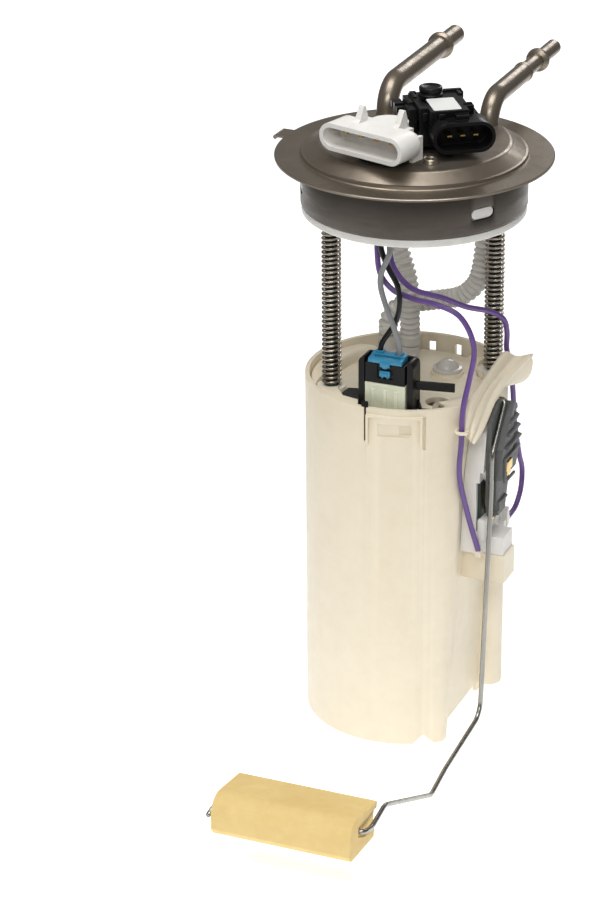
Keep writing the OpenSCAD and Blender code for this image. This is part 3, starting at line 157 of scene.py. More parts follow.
def rounded(points, size, steps=6):
    """Route with its corners rounded off over the given length."""
    p = [Vector(q) for q in points]
    out = [p[0]]
    for i in range(1, len(p) - 1):
        back, on = p[i - 1] - p[i], p[i + 1] - p[i]
        a = p[i] + min(size, back.length * 0.45) * back.normalized()
        b = p[i] + min(size, on.length * 0.45) * on.normalized()
        for j in range(steps + 1):
            t = j / steps
            out.append((1 - t) ** 2 * a + 2 * t * (1 - t) * p[i] + t * t * b)
    return out + [p[-1]]


def resample(points, step):
    """The same line with evenly spaced points."""
    total = sum((b - a).length for a, b in zip(points, points[1:]))
    n = max(2, round(total / step))
    out, i, run = [points[0]], 0, 0.0
    for k in range(1, n):
        want = total * k / n
        while run + (points[i + 1] - points[i]).length < want:
            run += (points[i + 1] - points[i]).length
            i += 1
        leg = points[i + 1] - points[i]
        out.append(points[i] + leg * ((want - run) / leg.length))
    return out + [points[-1]]


def frames(points):
    """Two cross directions at each point, carried along without twist."""
    out, u = [], None
    for i, p in enumerate(points):
        t = (points[min(i + 1, len(points) - 1)] - points[max(i - 1, 0)]).normalized()
        if u is None:
            u = Vector((0, 1, 0)) if abs(t.x) > 0.8 else Vector((1, 0, 0))
        u = (u - u.dot(t) * t).normalized()
        out.append((u, t.cross(u)))
    return out


def finish_mesh(name, bm, smooth_faces=True):
    """Object made of the finished faces, linked to the scene."""
    bmesh.ops.recalc_face_normals(bm, faces=bm.faces)
    for f in bm.faces:
        f.smooth = smooth_faces
    mesh = bpy.data.meshes.new(name)
    bm.to_mesh(mesh)
    bm.free()
    obj = bpy.data.objects.new(name, mesh)
    bpy.context.collection.objects.link(obj)
    return obj


def sweep(name, points, radii, sides):
    """Closed round tube along the points; radii is one value or one for each point."""
    if not hasattr(radii, "__len__"):
        radii = [radii] * len(points)
    bm = bmesh.new()
    rings = []
    turns = [2 * math.pi * j / sides for j in range(sides)]
    for p, r, (u, v) in zip(points, radii, frames(points)):
        rings.append([bm.verts.new(p + r * (math.cos(a) * u + math.sin(a) * v)) for a in turns])
    for a, b in zip(rings, rings[1:]):
        for j in range(sides):
            k = (j + 1) % sides
            bm.faces.new((a[j], a[k], b[k], b[j]))
    bm.faces.new(list(reversed(rings[0])))
    bm.faces.new(rings[-1])
    return finish_mesh(name, bm)


def ribbed(line, diameter, depth):
    """Radii of a corrugated hose along the line, with plain ends."""
    radii = []
    for i in range(len(line)):
        phase = (i % RIB_STEPS) / RIB_STEPS
        rise = 0.5 + 0.5 * math.cos(2 * math.pi * phase)
        radii.append(diameter / 2 - depth * (1 - rise**RIB_POWER))
    for i in range(PLAIN_STEPS):
        radii[i] = radii[-1 - i] = diameter / 2 - depth * PLAIN_SHARE
    return radii


def add_cord(name, route, diameter, node, slot, ribs=0.0, stiffness="medium"):
    """One hose or wire between cover and reservoir, swept along its route; its solid is hidden."""
    line = smooth(route, 8)
    if ribs:
        line = resample(line, RIB_PITCH / RIB_STEPS)
        obj = sweep(name, line, ribbed(line, diameter, ribs), HOSE_SIDES)
    else:
        line = resample(line, diameter * 0.7)
        obj = sweep(name, line, diameter / 2, WIRE_SIDES)
    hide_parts(node)
    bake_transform(obj)
    return obj


CORDS = (
    ("supply_hose_ribbed", SUPPLY_HOSE_ROUTE, HOSE_D, "supply_hose", "clear_nylon", RIB_DEPTH, "stiff"),
    ("return_hose_ribbed", RETURN_HOSE_ROUTE, HOSE_D, "return_hose", "clear_nylon", RIB_DEPTH, "stiff"),
    ("black_lead", BLACK_ROUTE, WIRE_D, "wire_black", "wire_black"),
    ("gray_lead", GRAY_ROUTE, WIRE_D, "wire_gray", "wire_gray"),
    ("purple_lead_front", PURPLE_FRONT_ROUTE, WIRE_D, "wire_purple_front", "wire_purple"),
    ("purple_lead_back", PURPLE_BACK_ROUTE, WIRE_D, "wire_purple_back", "wire_purple"),
)
LAID = [(add_cord(*cord), cord[4]) for cord in CORDS]

# Materials


def new_group(name, inputs, outputs):
    """Shared node group; inputs and outputs are (name, socket type, default)."""
    group = bpy.data.node_groups.new(name, "ShaderNodeTree")
    for label, kind, value in inputs:
        socket = group.interface.new_socket(label, in_out="INPUT", socket_type=kind)
        if value is not None:
            socket.default_value = value
    for label, kind in outputs:
        group.interface.new_socket(label, in_out="OUTPUT", socket_type=kind)
    return group, group.nodes.new("NodeGroupInput"), group.nodes.new("NodeGroupOutput")


def noise(tree, vector, scale, detail=3.0, rough=0.55):
    node = tree.nodes.new("ShaderNodeTexNoise")
    node.inputs["Scale"].default_value = scale
    node.inputs["Detail"].default_value = detail
    node.inputs["Roughness"].default_value = rough
    tree.links.new(vector, node.inputs["Vector"])
    return node.outputs["Fac"]


def span(tree, value, low, high, to_low=0.0, to_high=1.0):
    node = tree.nodes.new("ShaderNodeMapRange")
    for i, v in enumerate((low, high, to_low, to_high)):
        node.inputs[i + 1].default_value = v
    tree.links.new(value, node.inputs[0])
    return node.outputs[0]


def mix_colour(tree, fac, a, b):
    node = tree.nodes.new("ShaderNodeMix")
    node.data_type = "RGBA"
    tree.links.new(fac, node.inputs[0])
    for socket, v in ((node.inputs[6], a), (node.inputs[7], b)):
        if isinstance(v, tuple):
            socket.default_value = v
        else:
            tree.links.new(v, socket)
    return node.outputs[2]


def math_node(tree, op, a, b):
    node = tree.nodes.new("ShaderNodeMath")
    node.operation = op
    for socket, v in ((node.inputs[0], a), (node.inputs[1], b)):
        if isinstance(v, (int, float)):
            socket.default_value = v
        else:
            tree.links.new(v, socket)
    return node.outputs[0]


def surface_group():
    """Broad tone change, fine grain, painted shade in hollows and light wear on edges, for every rigid
    surface.
    """
    group, start, end = new_group(
        "surface_detail",
        [
            ("Base", "NodeSocketColor", (0.8, 0.8, 0.8, 1)),
            ("Shade", "NodeSocketColor", (0.7, 0.7, 0.7, 1)),
            ("Edge", "NodeSocketColor", (0.9, 0.9, 0.9, 1)),
            ("Stretch", "NodeSocketVector", (1, 1, 1)),
            ("Grain", "NodeSocketFloat", 900.0),
            ("Bump", "NodeSocketFloat", 0.1),
            ("Rough", "NodeSocketFloat", 0.5),
            ("Rough spread", "NodeSocketFloat", 0.1),
            ("Wear", "NodeSocketFloat", 0.3),
        ],
        [("Color", "NodeSocketColor"), ("Roughness", "NodeSocketFloat"), ("Normal", "NodeSocketVector")],
    )
    coords = group.nodes.new("ShaderNodeTexCoord").outputs["Object"]
    geometry = group.nodes.new("ShaderNodeNewGeometry")
    scaled = group.nodes.new("ShaderNodeVectorMath")
    scaled.operation = "MULTIPLY"
    group.links.new(coords, scaled.inputs[0])
    group.links.new(start.outputs["Stretch"], scaled.inputs[1])
    broad = noise(group, coords, 28.0, 3.0)
    cloudy = noise(group, scaled.outputs[0], 160.0, 5.0, 0.65)
    grain = group.nodes.new("ShaderNodeTexNoise")
    grain.inputs["Detail"].default_value = 2.0
    group.links.new(scaled.outputs[0], grain.inputs["Vector"])
    group.links.new(start.outputs["Grain"], grain.inputs["Scale"])
    slow, quick = math_node(group, "MULTIPLY", broad, 0.55), math_node(group, "MULTIPLY", cloudy, 0.45)
    tone = math_node(group, "ADD", slow, quick)
    body = mix_colour(group, span(group, tone, 0.38, 0.62), start.outputs["Base"], start.outputs["Shade"])
    edge = span(group, geometry.outputs["Pointiness"], 0.52, 0.6)
    edge = math_node(group, "MULTIPLY", edge, start.outputs["Wear"])
    body = mix_colour(group, edge, body, start.outputs["Edge"])
    # Painted shade: the colour turns towards the shade colour in hollows
    hollow = span(group, geometry.outputs["Pointiness"], 0.48, 0.42, 0.0, 0.35)
    body = mix_colour(group, hollow, body, start.outputs["Shade"])
    group.links.new(body, end.inputs["Color"])
    uneven = span(group, cloudy, 0.35, 0.65, -0.5, 0.5)
    rough = math_node(group, "MULTIPLY", uneven, start.outputs["Rough spread"])
    group.links.new(math_node(group, "ADD", rough, start.outputs["Rough"]), end.inputs["Roughness"])
    bump = group.nodes.new("ShaderNodeBump")
    bump.inputs["Distance"].default_value = 0.00012
    group.links.new(start.outputs["Bump"], bump.inputs["Strength"])
    group.links.new(math_node(group, "ADD", grain.outputs["Fac"], cloudy), bump.inputs["Height"])
    group.links.new(bump.outputs["Normal"], end.inputs["Normal"])
    return group


SURFACE = surface_group()


def rgba(c, k=1.0):
    return (c[0] * k, c[1] * k, c[2] * k, 1.0)


def material(name, base, shade, edge=None, rough=0.5, spread=0.12, grain=900.0, bump=0.15, wear=0.3,
             metal=0.0, stretch=(1, 1, 1), **shader):
    """Finish made of base, shade and edge colours on the shared surface detail."""
    mat = bpy.data.materials.new(name)
    mat.use_nodes = True
    tree = mat.node_tree
    bsdf = tree.nodes["Principled BSDF"]
    group = tree.nodes.new("ShaderNodeGroup")
    group.node_tree = SURFACE
    worn = rgba(edge) if edge else rgba(base, 1.15)
    for label, value in (
        ("Base", rgba(base)), ("Shade", rgba(shade)), ("Edge", worn), ("Stretch", stretch),
        ("Grain", grain), ("Bump", bump), ("Rough", rough), ("Rough spread", spread), ("Wear", wear),
    ):
        group.inputs[label].default_value = value
    tree.links.new(group.outputs["Color"], bsdf.inputs["Base Color"])
    tree.links.new(group.outputs["Roughness"], bsdf.inputs["Roughness"])
    tree.links.new(group.outputs["Normal"], bsdf.inputs["Normal"])
    bsdf.inputs["Metallic"].default_value = metal
    for label, value in shader.items():
        bsdf.inputs[label.replace("_", " ")].default_value = value
    return mat


MATERIALS = {
    "zinc_steel": material("plated_steel", (0.26, 0.22, 0.172), (0.205, 0.172, 0.134), (0.5, 0.45, 0.4),
                           rough=0.34, bump=0.05, wear=0.35, metal=0.8, grain=1500.0),
    "bright_steel": material("bright_steel", (0.36, 0.355, 0.33), (0.27, 0.265, 0.245), rough=0.27, metal=1.0,
                             bump=0.06, stretch=(1, 1, 0.15)),
    "spring_steel": material("spring_steel", (0.47, 0.42, 0.36), (0.34, 0.30, 0.25), rough=0.27, metal=1.0,
                             bump=0.03),
    "white_nylon": material("white_nylon", (0.80, 0.785, 0.75), (0.74, 0.72, 0.685), rough=0.42, bump=0.06,
                            wear=0.2, Subsurface_Weight=0.12, Subsurface_Radius=(0.004, 0.004, 0.004)),
    "cream_acetal": material("cream_acetal", (0.83, 0.755, 0.60), (0.79, 0.705, 0.545), rough=0.4, bump=0.06,
                             wear=0.25, Subsurface_Weight=0.12, Subsurface_Radius=(0.005, 0.004, 0.003)),
    "clear_nylon": material("clear_nylon", (0.84, 0.82, 0.77), (0.78, 0.76, 0.71), rough=0.22, spread=0.05,
                            bump=0.01, wear=0.2, Subsurface_Weight=0.4,
                            Subsurface_Radius=(0.006, 0.006, 0.006), Transmission_Weight=0.3),
    "black_plastic": material("black_plastic", (0.0035, 0.0035, 0.0035), (0.006, 0.006, 0.006),
                              (0.03, 0.03, 0.03), rough=0.32, bump=0.08, wear=0.25, Specular_IOR_Level=0.2),
    "gray_plastic": material("gray_plastic", (0.092, 0.096, 0.092), (0.07, 0.073, 0.07), (0.16, 0.165, 0.165),
                             rough=0.5, bump=0.12, wear=0.4, Specular_IOR_Level=0.35),
    "blue_plastic": material("blue_plastic", (0.028, 0.25, 0.42), (0.018, 0.17, 0.31), rough=0.38, bump=0.06,
                             wear=0.3),
    "pale_header": material("pale_header", (0.72, 0.73, 0.57), (0.62, 0.64, 0.48), rough=0.4, bump=0.06,
                            wear=0.3),
    "black_rubber": material("black_rubber", (0.02, 0.02, 0.02), (0.04, 0.04, 0.04), rough=0.75, bump=0.2,
                             wear=0.2),
    "blade_brass": material("blade_brass", (0.72, 0.52, 0.2), (0.5, 0.34, 0.12), rough=0.3, metal=1.0,
                            bump=0.08),
    "copper": material("copper", (0.75, 0.36, 0.2), (0.55, 0.25, 0.14), rough=0.35, metal=1.0, bump=0.1),
    "carbon": material("carbon", (0.05, 0.05, 0.05), (0.08, 0.08, 0.08), rough=0.7, bump=0.2),
    "ferrite": material("ferrite", (0.08, 0.08, 0.09), (0.12, 0.12, 0.13), rough=0.6, bump=0.2),
    "wire_black": material("lead_black", (0.004, 0.004, 0.004), (0.007, 0.007, 0.007), rough=0.3, bump=0.04,
                           Specular_IOR_Level=0.4),
    "wire_gray": material("lead_gray", (0.26, 0.27, 0.27), (0.21, 0.22, 0.22), rough=0.4, bump=0.05),
    "wire_purple": material("lead_purple", (0.15, 0.075, 0.29), (0.11, 0.055, 0.22), rough=0.36, bump=0.05),
    "float_foam": material("float_foam", (0.80, 0.60, 0.25), (0.74, 0.53, 0.2), (0.85, 0.68, 0.35), rough=0.7,
                           grain=1400.0, bump=0.4, wear=0.3),
    "strainer_mesh": material("strainer_mesh", (0.8, 0.8, 0.75), (0.66, 0.66, 0.6), rough=0.8, grain=2500.0,
                              bump=0.6),
    "card_dark": material("card_dark", (0.03, 0.045, 0.035), (0.02, 0.03, 0.024), rough=0.45, bump=0.05),
}

SLOT_OF = {p["node"]: p["material_slot"] for p in frame["record"]["subparts"]}


def dress(obj, slot):
    """Gives a piece the finish of its slot."""
    obj.data.materials.clear()
    obj.data.materials.append(MATERIALS[slot])


def settle(obj, node, slot, body):
    """Finish, body and, where it stands for one, the solid of a piece."""
    if node:
        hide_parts(node)
    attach(obj, body)
    dress(obj, slot)
    return obj


# Finish of single nodes that differs from their slot. The brass terminals take the cream round them, because
# no brass is seen there, and the rods are painted dark as painted shade between the springs' turns.
FINISH = {
    # Skirt: the plated steel with a darker colour, painted shade under the flange
    "cover_skirt": material("drawn_steel_painted_shade", (0.088, 0.076, 0.064), (0.066, 0.057, 0.048), (0.22, 0.19, 0.16),
                            rough=0.4, spread=0.14, bump=0.06, wear=0.3, metal=0.75, grain=1500.0,
                            stretch=(0.25, 0.25, 1.6)),
    "sender_terminals": MATERIALS["cream_acetal"],
    # Rods painted dark: painted shade in the gaps between the springs' turns
    "guide_rod_left": MATERIALS["card_dark"],
    "guide_rod_right": MATERIALS["card_dark"],
}

for name, obj in NODES.items():
    for i in range(len(obj.material_slots)):
        obj.material_slots[i].material = FINISH.get(name, MATERIALS[SLOT_OF[name]])

for obj, slot in LAID:
    dress(obj, slot)

# Springs: place of the right rod in millimetres, turns, then wire, coil and the reservoir's travel in metres

ROD = mm(34.141, 24.805, 0)
SPRING_TURNS = 36
SPRING_WIRE_R, SPRING_MEAN_R, SLIDE = 0.00068, 0.00440, 0.040


def add_spring(name, centre, node):
    """Round wire coil round a rod, between the ends of the spring's solid."""
    steps, sides = 24, 8
    low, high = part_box(node)
    z0, z1 = low[2] + SPRING_WIRE_R, high[2] - SPRING_WIRE_R
    points = []
    total = SPRING_TURNS * steps
    for i in range(total + 1):
        a = 2 * math.pi * i / steps
        x, y = centre.x + SPRING_MEAN_R * math.cos(a), centre.y + SPRING_MEAN_R * math.sin(a)
        points.append(Vector((x, y, z0 + (z1 - z0) * i / total)))
    obj = settle(sweep(name, points, SPRING_WIRE_R, sides), node, "spring_steel", "flange")
    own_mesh(obj)


add_spring("left_coil", -ROD, "spring_left")
add_spring("right_coil", ROD, "spring_right")

# Float arm wire: its plane and path beside the reservoir in millimetres, then gap, float and bent end

ARM_X, ARM_D = 51.5, 0.0025
ARM_PATH = [
    (-5, -122), (-23.2, -143.6), (-24.4, -171), (-34.6, -280), (-39.6, -285), (-86, -289.8), (-105.5, -294),
    (-168, -265.5), (-185, -268.5), (-194.5, -266),
]
ARM_PIVOT = (48.1, -5, -122)
FLOAT_GAP, FLOAT_L, ARM_STUB = 1.9, 71, 2.6
ARM_BEND = 0.003


def add_arm():
    left = ARM_X - FLOAT_GAP - FLOAT_L - ARM_STUB
    corners = [mm(ARM_PIVOT)] + [mm(ARM_X, y, z) for y, z in ARM_PATH]
    corners += [mm(left, -194.5, -266), mm(left, -205.5, -267.5)]
    arm = sweep("arm_wire_round", rounded(corners, ARM_BEND), ARM_D / 2, 18)
    settle(arm, "float_arm_wire", "bright_steel", "float_arm")


add_arm()

# Soft edges on the moulded and pressed pieces: flat faces are merged first, then bevelled


def soften(node, width):
    obj = NODES[node]
    weld = obj.modifiers.new("weld", "WELD")
    weld.merge_threshold = 0.00001
    flat = obj.modifiers.new("merge_flats", "DECIMATE")
    flat.decimate_type = "DISSOLVE"
    flat.angle_limit = math.radians(0.4)
    bevel = obj.modifiers.new("soft_edges", "BEVEL")
    bevel.width = width
    bevel.segments = 2
    bevel.limit_method = "ANGLE"
    bevel.angle_limit = math.radians(35.0)
    bevel.harden_normals = False
    bevel.use_clamp_overlap = True


for name, width in (
    ("cover_skirt", 0.0002), ("carrier_ring", 0.0003), ("connector_shell", 0.0005), ("sensor_body", 0.0004),
    ("sensor_clip", 0.0003), ("reservoir_can", 0.0005), ("pump_retainer", 0.0004), ("wiring_bracket", 0.0004),
    ("pump_header", 0.0004), ("pump_plug", 0.0003), ("sender_housing", 0.0004),
    ("sender_rotor", 0.0003), ("float", 0.0005), ("connector_blades", 0.0001), ("sensor_blades", 0.0001),
):
    soften(name, width)

# Moulded guard over the level sender: folded trough, hanging side, hook for the front wire, and foot


def spin_round(bm, steps):
    """Turns everything in the mesh once round the upright axis."""
    bmesh.ops.spin(bm, geom=bm.verts[:] + bm.edges[:], cent=(0, 0, 0), axis=(0, 0, 1), angle=2 * math.pi,
                   steps=steps, use_merge=True)


def round_edges(bm, edges, width):
    bmesh.ops.bevel(bm, geom=edges, offset=width, segments=3, profile=0.5, affect="EDGES", material=-1)


def sheet_strip(name, stations, thickness):
    """Sheet extruded along rows of points in millimetres, given a wall and rounded off."""
    bm = bmesh.new()
    row = [bm.verts.new(mm(p)) for p in stations[0]]
    edges = [bm.edges.new(pair) for pair in zip(row, row[1:])]
    for station in stations[1:]:
        grown = bmesh.ops.extrude_edge_only(bm, edges=edges)["geom"]
        edges = [g for g in grown if isinstance(g, bmesh.types.BMEdge) and all(v not in row for v in g.verts)]
        reached = {v for edge in edges for v in edge.verts}
        fresh = []
        for v in row:
            ends = [e.other_vert(v) for e in v.link_edges]
            fresh.append(next(w for w in ends if w in reached and w not in row and w not in fresh))
        for v, p in zip(fresh, station):
            v.co = mm(p)
        row = fresh
    obj = finish_mesh(name, bm)
    wall = obj.modifiers.new("wall", "SOLIDIFY")
    wall.thickness = thickness
    wall.offset = 0.0
    skin = obj.modifiers.new("skin", "SUBSURF")
    skin.levels = skin.render_levels = 3
    return obj


GUARD_INNER = [
    (41.3, -38.2, -128.2), (41.2, -35.8, -119.5), (41.2, -27.5, -112.8), (41.3, -12, -110.6),
    (41.7, 2, -107.6), (43.5, 12, -102.8),
]
GUARD_OUTER = [
    (46.0, -36.0, -134.2), (47.4, -25.0, -129.4), (47.4, -11.5, -120.8), (48.9, -1, -115.6),
    (53.0, 9.5, -110.2), (57.7, 21, -105.6),
]
# Share of the width, rise above the chord at the low end and at the flared end
GUARD_FOLDS = [
    (0.0, -1.4, -1.8), (0.05, 0.9, 0.9), (0.14, 1.6, 1.7), (0.26, 0.1, 0.0), (0.4, -1.5, -2.0),
    (0.52, 1.5, -2.2), (0.62, 1.2, -1.9), (0.74, -1.3, -1.0), (0.88, 1.0, 1.4), (0.96, 0.9, 1.6),
    (1.0, -1.6, -2.6),
]
GUARD_SIDE = [
    [(57.2, 20.6, -106.2), (54.6, 14.5, -107.5), (51.4, 8, -110.5), (48.4, 1.5, -114.6)],
    [(57.0, 20.8, -111.5), (54.2, 15.5, -113.0), (51.0, 9, -114.8), (48.0, 2.5, -117.0)],
    [(56.2, 20.2, -117.5), (53.4, 15.2, -117.6), (50.0, 9.6, -118.0), (47.2, 3.4, -119.0)],
    [(51.5, 18.5, -121.5), (49.2, 14.4, -120.8), (46.4, 9.8, -120.2), (44.0, 4.4, -120.0)],
]
# Walls in metres; place, ring and wire of the hook and place, size and lean of the foot in millimetres
TROUGH_WALL, SIDE_WALL = 0.0016, 0.0014
HOOK_AT, HOOK_R, HOOK_WIRE_R = (40.75, -38.4, -126.5), 2.9, 0.9
FOOT_AT, FOOT_SIZE, FOOT_LEAN = (40.5, -16, -122.4), (3.2, 33, 10.6), 2.6


def guard_stations():
    """Rows of points across the trough, from its low end to its flared end."""
    last = len(GUARD_INNER) - 1
    stations = []
    for i, (a, b) in enumerate(zip(GUARD_INNER, GUARD_OUTER)):
        a, b = Vector(a), Vector(b)
        along = Vector(GUARD_INNER[min(i + 1, last)]) - Vector(GUARD_INNER[max(i - 1, 0)])
        rise = (b - a).cross(along).normalized()
        rise = rise if rise.z > 0 else -rise
        t = i / last
        stations.append([a + (b - a) * k + rise * (low * (1 - t) + high * t) for k, low, high in GUARD_FOLDS])
    return stations


def guard_hook():
    bm = bmesh.new()
    ring = bmesh.ops.create_circle(bm, segments=12, radius=HOOK_WIRE_R / 1000, cap_ends=False)["verts"]
    stand = Matrix.Translation(mm(HOOK_R, 0, 0)) @ Matrix.Rotation(math.pi / 2, 4, "X")
    bmesh.ops.transform(bm, verts=ring, matrix=stand)
    spin_round(bm, 32)
    bmesh.ops.translate(bm, verts=bm.verts, vec=mm(HOOK_AT))
    return finish_mesh("guard_hook", bm)


def guard_foot():
    bm = bmesh.new()
    bmesh.ops.create_cube(bm, size=1.0)
    bmesh.ops.scale(bm, verts=bm.verts, vec=mm(FOOT_SIZE))
    round_edges(bm, bm.edges[:], 0.0007)
    lean = Matrix.Rotation(math.radians(FOOT_LEAN), 3, "Y")
    bmesh.ops.rotate(bm, verts=bm.verts, cent=(0, 0, 0), matrix=lean)
    bmesh.ops.translate(bm, verts=bm.verts, vec=mm(FOOT_AT))
    return finish_mesh("guard_foot", bm)


for piece in (
    sheet_strip("guard_trough", guard_stations(), TROUGH_WALL),
    sheet_strip("guard_web", GUARD_SIDE, SIDE_WALL), guard_hook(), guard_foot(),
):
    settle(piece, "cable_guard", "cream_acetal", "reservoir")

# Moulded blocks and turned pieces


def at(x, y, z, turn=0.0):
    """Place in millimetres, turned about the upright axis in degrees."""
    return Matrix.Translation(mm(x, y, z)) @ Matrix.Rotation(math.radians(turn), 4, "Z")


def moulded(name, boxes, edge, place, node=None, slot="black_plastic", body="flange"):
    """Piece of bevelled blocks, each given by two corners in millimetres, put in its place."""
    bm = bmesh.new()
    for low, high in boxes:
        made = bmesh.ops.create_cube(bm, size=1.0)["verts"]
        size = [b - a for a, b in zip(low, high)]
        bmesh.ops.scale(bm, verts=made, vec=mm(size))
        bmesh.ops.translate(bm, verts=made, vec=mm([(a + b) / 2 for a, b in zip(low, high)]))
        sides = list({e for v in made for e in v.link_edges})
        round_edges(bm, sides, min(edge, min(size) * 0.3) / 1000)
    bmesh.ops.transform(bm, verts=bm.verts, matrix=place)
    return settle(finish_mesh(name, bm), node, slot, body)


def turned(name, outline, place, node=None, slot="black_plastic", body="flange"):
    """Piece turned from an outline of radius and height in millimetres, with its ends on the axis."""
    bm = bmesh.new()
    row = [bm.verts.new(mm(r, 0, z)) for r, z in outline]
    for pair in zip(row, row[1:]):
        bm.edges.new(pair)
    spin_round(bm, 48)
    bmesh.ops.remove_doubles(bm, verts=bm.verts, dist=0.00002)
    bmesh.ops.transform(bm, verts=bm.verts, matrix=place)
    return settle(finish_mesh(name, bm), node, slot, body)


# Pressure sensor: its place, turn and top in millimetres and degrees, two-step cap, ribbed side block and
# steps on the housing
SENSOR_AT, SENSOR_TURN = (34, -21.5, 19.4), 34.0
SENSOR = at(*SENSOR_AT, SENSOR_TURN)
SENSOR_TOP = 11.5
turned("cap_two_step", [
    (0, 0), (5.9, 0), (6.1, 0.2), (6.1, 0.9), (5.6, 1.2), (5.1, 1.3), (5.1, 2.1), (5.6, 2.3), (5.75, 2.6),
    (5.75, 4.0), (5.5, 4.4), (4.9, 4.6), (4.5, 4.6), (4.2, 4.3), (0, 4.3),
], SENSOR @ at(-8.9, 34.2, SENSOR_TOP), "sensor_cap")
moulded("sensor_side_block", [
    ((-23.6, 19.2, -7.5), (-18.9, 27.4, 9.8)), ((-21.9, 27.6, -7.5), (-18.9, 39.4, 10.8)),
    ((-24.3, 20.6, 1.5), (-23.4, 22.2, 8.6)), ((-24.3, 24.0, 1.5), (-23.4, 25.6, 8.6)),
    ((-18.6, 36.8, 11.3), (-15.4, 39.2, 12.6)), ((-1.8, 37.4, 11.3), (7.4, 39.4, 12.6)),
    ((3.4, 16.4, 11.2), (7.6, 18.0, 12.2)), ((-18.4, 30.8, 11.3), (-16.6, 36.9, 12.4)),
    ((4.2, 31.4, 11.3), (6.0, 36.9, 12.4)), ((8.0, 22.5, 2.0), (9.4, 24.5, 8.0)),
    ((8.0, 28.5, 2.0), (9.4, 30.5, 8.0)), ((-17.6, 12.6, 5.0), (-15.0, 14.4, 9.6)),
    ((-11, 7.0, 8.0), (-7.6, 8.4, 10.4)),
], 0.4, SENSOR)

# Pieces placed straight in the frame: brass wiper in the rotor's window, its raised rim and the ribs above it
HERE = at(0, 0, 0)
moulded("wiper_brass_tip", [
    ((55.4, -14.0, -158.4), (56.5, -8.8, -155.4)), ((55.4, -15.6, -155.6), (56.9, -7.4, -150.4)),
], 0.5, HERE, None, "blade_brass", "float_arm")
moulded("rotor_ribs", [
    ((55.6, -18.6, -149.0), (57.0, 4.2, -147.4)), ((55.6, -17.4, -161.2), (57.0, -3.0, -159.8)),
    ((55.6, -18.4, -160.4), (57.0, -16.6, -148.2)), ((55.6, -16.0, -143.4), (57.4, 4.6, -141.9)),
    ((55.6, -13.4, -137.3), (57.2, 3.2, -135.9)), ((55.6, -10.4, -131.4), (57.0, 1.6, -130.0)),
    ((53.2, -17.0, -172.6), (54.6, -7.4, -171.2)),
], 0.35, HERE, None, "gray_plastic", "float_arm")

# Lip of the sender's housing over the foot of the card
moulded("housing_card_lip", [((44.6, -24.9, -191.4), (48.4, -15.6, -180.0))], 0.8, HERE, None, "white_nylon",
        "reservoir")

# Black seen through the slit of the front tab, taken to be an arm of the wiring bracket; the dark strip is
# also painted shade in the slit
moulded("bracket_and_shade_behind_slit", [((-7.0, -52.6, -134.0), (-3.6, -51.5, -112.0))], 0.3, HERE, None,
        "black_plastic", "reservoir")

# Blue lock of the pump plug: two bars with a gap, tab and separate latch
PLUG = at(3, -42, -93.3)
moulded("lock_bars", [
    ((-8.9, -4.6, 0), (8.9, -1.5, 2.5)), ((-8.9, -0.1, 0), (8.9, 4.4, 3.3)),
    ((-8.9, -1.7, 0), (-6.9, 0.1, 2.7)), ((6.9, -1.7, 0), (8.9, 0.1, 2.7)),
    ((-7.2, 0.8, 3.0), (-2.9, 4.1, 4.5)), ((2.9, 0.8, 3.0), (7.2, 4.1, 4.5)),
    ((-2.6, -4.9, -1.7), (2.6, -4.3, 1.0)), ((-1.2, -4.9, -2.4), (1.2, -4.4, -1.5)),
    ((-2.7, -5.1, -6.7), (2.7, -3.7, -3.7)), ((-1.5, -5.5, -6.1), (1.5, -5.0, -4.6)),
    ((-1.9, -4.7, -7.6), (-0.9, -3.7, -6.5)), ((0.9, -4.7, -7.6), (1.9, -3.7, -6.5)),
], 0.35, PLUG, "plug_lock", "blue_plastic", "reservoir")

# Bare label plate on the pressure sensor: its two sides across and along and its corner, in millimetres
LABEL_X, LABEL_Y, LABEL_R = (-12.9, 0.9), (9.8, 28.0), 1.0
# Share of the outline and height in millimetres of each ring of the plate
LABEL_RINGS = ((1.0, 0.0), (1.0, 0.08), (1 - 0.05 / 7, 0.12))


def add_label():
    turn = math.radians(SENSOR_TURN)
    across, along = Vector((math.cos(turn), math.sin(turn), 0)), Vector((-math.sin(turn), math.cos(turn), 0))
    origin = mm(SENSOR_AT) + mm(0, 0, SENSOR_TOP)
    (x0, x1), (y0, y1), r = LABEL_X, LABEL_Y, LABEL_R
    corners = ((x1 - r, y1 - r, 0), (x0 + r, y1 - r, 90), (x0 + r, y0 + r, 180), (x1 - r, y0 + r, 270))
    outline = []
    for cx, cy, start in corners:
        for k in range(5):
            a = math.radians(start + 22.5 * k)
            outline.append((cx + r * math.cos(a), cy + r * math.sin(a)))
    mid_x, mid_y = (x0 + x1) / 2, (y0 + y1) / 2
    bm = bmesh.new()
    rings = []
    for share, height in LABEL_RINGS:
        ring = []
        for x, y in outline:
            right, ahead = (mid_x + (x - mid_x) * share) / 1000, (mid_y + (y - mid_y) * share) / 1000
            ring.append(bm.verts.new(origin + across * right + along * ahead + mm(0, 0, height)))
        rings.append(ring)
    n = len(outline)
    for a, b in zip(rings, rings[1:]):
        for j in range(n):
            bm.faces.new((a[j], a[(j + 1) % n], b[(j + 1) % n], b[j]))
    bm.faces.new(list(reversed(rings[0])))
    bm.faces.new(rings[-1])
    label = finish_mesh("bare_label", bm, False)
    paper = material("label_paper", (0.78, 0.78, 0.76), (0.72, 0.72, 0.70), rough=0.35, bump=0.03, wear=0.1)
    label.data.materials.append(paper)
    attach(label, "flange")


add_label()

# Floor and light

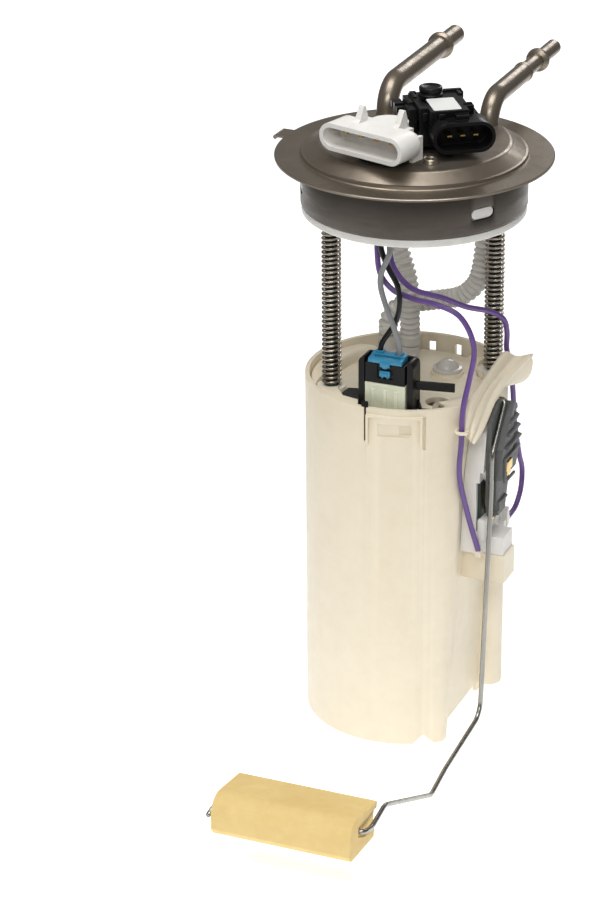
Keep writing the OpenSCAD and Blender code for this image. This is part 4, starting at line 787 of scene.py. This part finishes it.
# Lights: azimuth and height of the direction they come from, distance, aim, power, width and depth
LIGHTS = (
    ("key", 14, 38, 1.9, (0, 0, -0.12), 11.5, 1.0, 0.5),
    ("top", 0, 78, 1.6, (0, 0, -0.03), 22.5, 1.5, 0.9),
    ("back", 181, 25, 2.0, (0, 0, -0.02), 6.5, 0.75, 0.5),
)
FLOOR_Z, FLOOR_GLOW = -0.3022, 0.62
# Where the pale sheet fades out towards the viewer and to the sides, in metres
SHEET_AHEAD, SHEET_BESIDE = (-0.75, -0.3), (1.0, 0.45)
WORLD_LIGHT = 0.2


def floor_material():
    """Pale sheet under and behind the object; the ground in front and beside it is darker."""
    mat = bpy.data.materials.new("pale_floor")
    mat.use_nodes = True
    tree = mat.node_tree
    bsdf = tree.nodes["Principled BSDF"]
    coords = tree.nodes.new("ShaderNodeTexCoord").outputs["Object"]
    facing_view = tree.nodes.new("ShaderNodeVectorRotate")
    facing_view.rotation_type = "Z_AXIS"
    facing_view.inputs["Angle"].default_value = math.radians(-VIEW_TURN)
    tree.links.new(coords, facing_view.inputs["Vector"])
    parts = tree.nodes.new("ShaderNodeSeparateXYZ")
    tree.links.new(facing_view.outputs[0], parts.inputs[0])
    ahead = span(tree, parts.outputs["Y"], *SHEET_AHEAD)
    beside = span(tree, math_node(tree, "ABSOLUTE", parts.outputs["X"], 0.0), *SHEET_BESIDE)
    sheet = math_node(tree, "MULTIPLY", ahead, beside)
    pale = mix_colour(tree, noise(tree, coords, 3.0), (0.95, 0.95, 0.95, 1), (0.92, 0.92, 0.92, 1))
    tone = mix_colour(tree, sheet, (0.3, 0.3, 0.3, 1), pale)
    tree.links.new(tone, bsdf.inputs["Base Color"])
    tree.links.new(tone, bsdf.inputs["Emission Color"])
    tree.links.new(math_node(tree, "MULTIPLY", sheet, FLOOR_GLOW), bsdf.inputs["Emission Strength"])
    bsdf.inputs["Roughness"].default_value = 0.8
    return mat


def add_floor():
    bm = bmesh.new()
    bmesh.ops.create_grid(bm, x_segments=1, y_segments=1, size=6.0)
    bmesh.ops.translate(bm, verts=bm.verts, vec=(0, 0, FLOOR_Z))
    floor = finish_mesh("floor", bm)
    floor.data.materials.append(floor_material())


def add_world():
    world = bpy.data.worlds.new("studio")
    bpy.context.scene.world = world
    world.use_nodes = True
    background = world.node_tree.nodes["Background"]
    background.inputs["Color"].default_value = (1.0, 0.985, 0.96, 1)
    background.inputs["Strength"].default_value = WORLD_LIGHT


def add_light(name, azimuth, rise, distance, aim, power, width, depth):
    light = bpy.data.lights.new(name, "AREA")
    light.energy = power
    light.shape = "RECTANGLE"
    light.size = width
    light.size_y = depth
    lamp = bpy.data.objects.new(name, light)
    bpy.context.collection.objects.link(lamp)
    place = facing(math.radians(azimuth), math.radians(rise)) * distance + Vector(aim)
    lamp.location = place
    lamp.rotation_euler = (Vector(aim) - place).to_track_quat("-Z", "Y").to_euler()


add_floor()
add_world()
for values in LIGHTS:
    add_light(*values)
bpy.context.scene.view_settings.view_transform = "Standard"

bpy.context.view_layer.update()
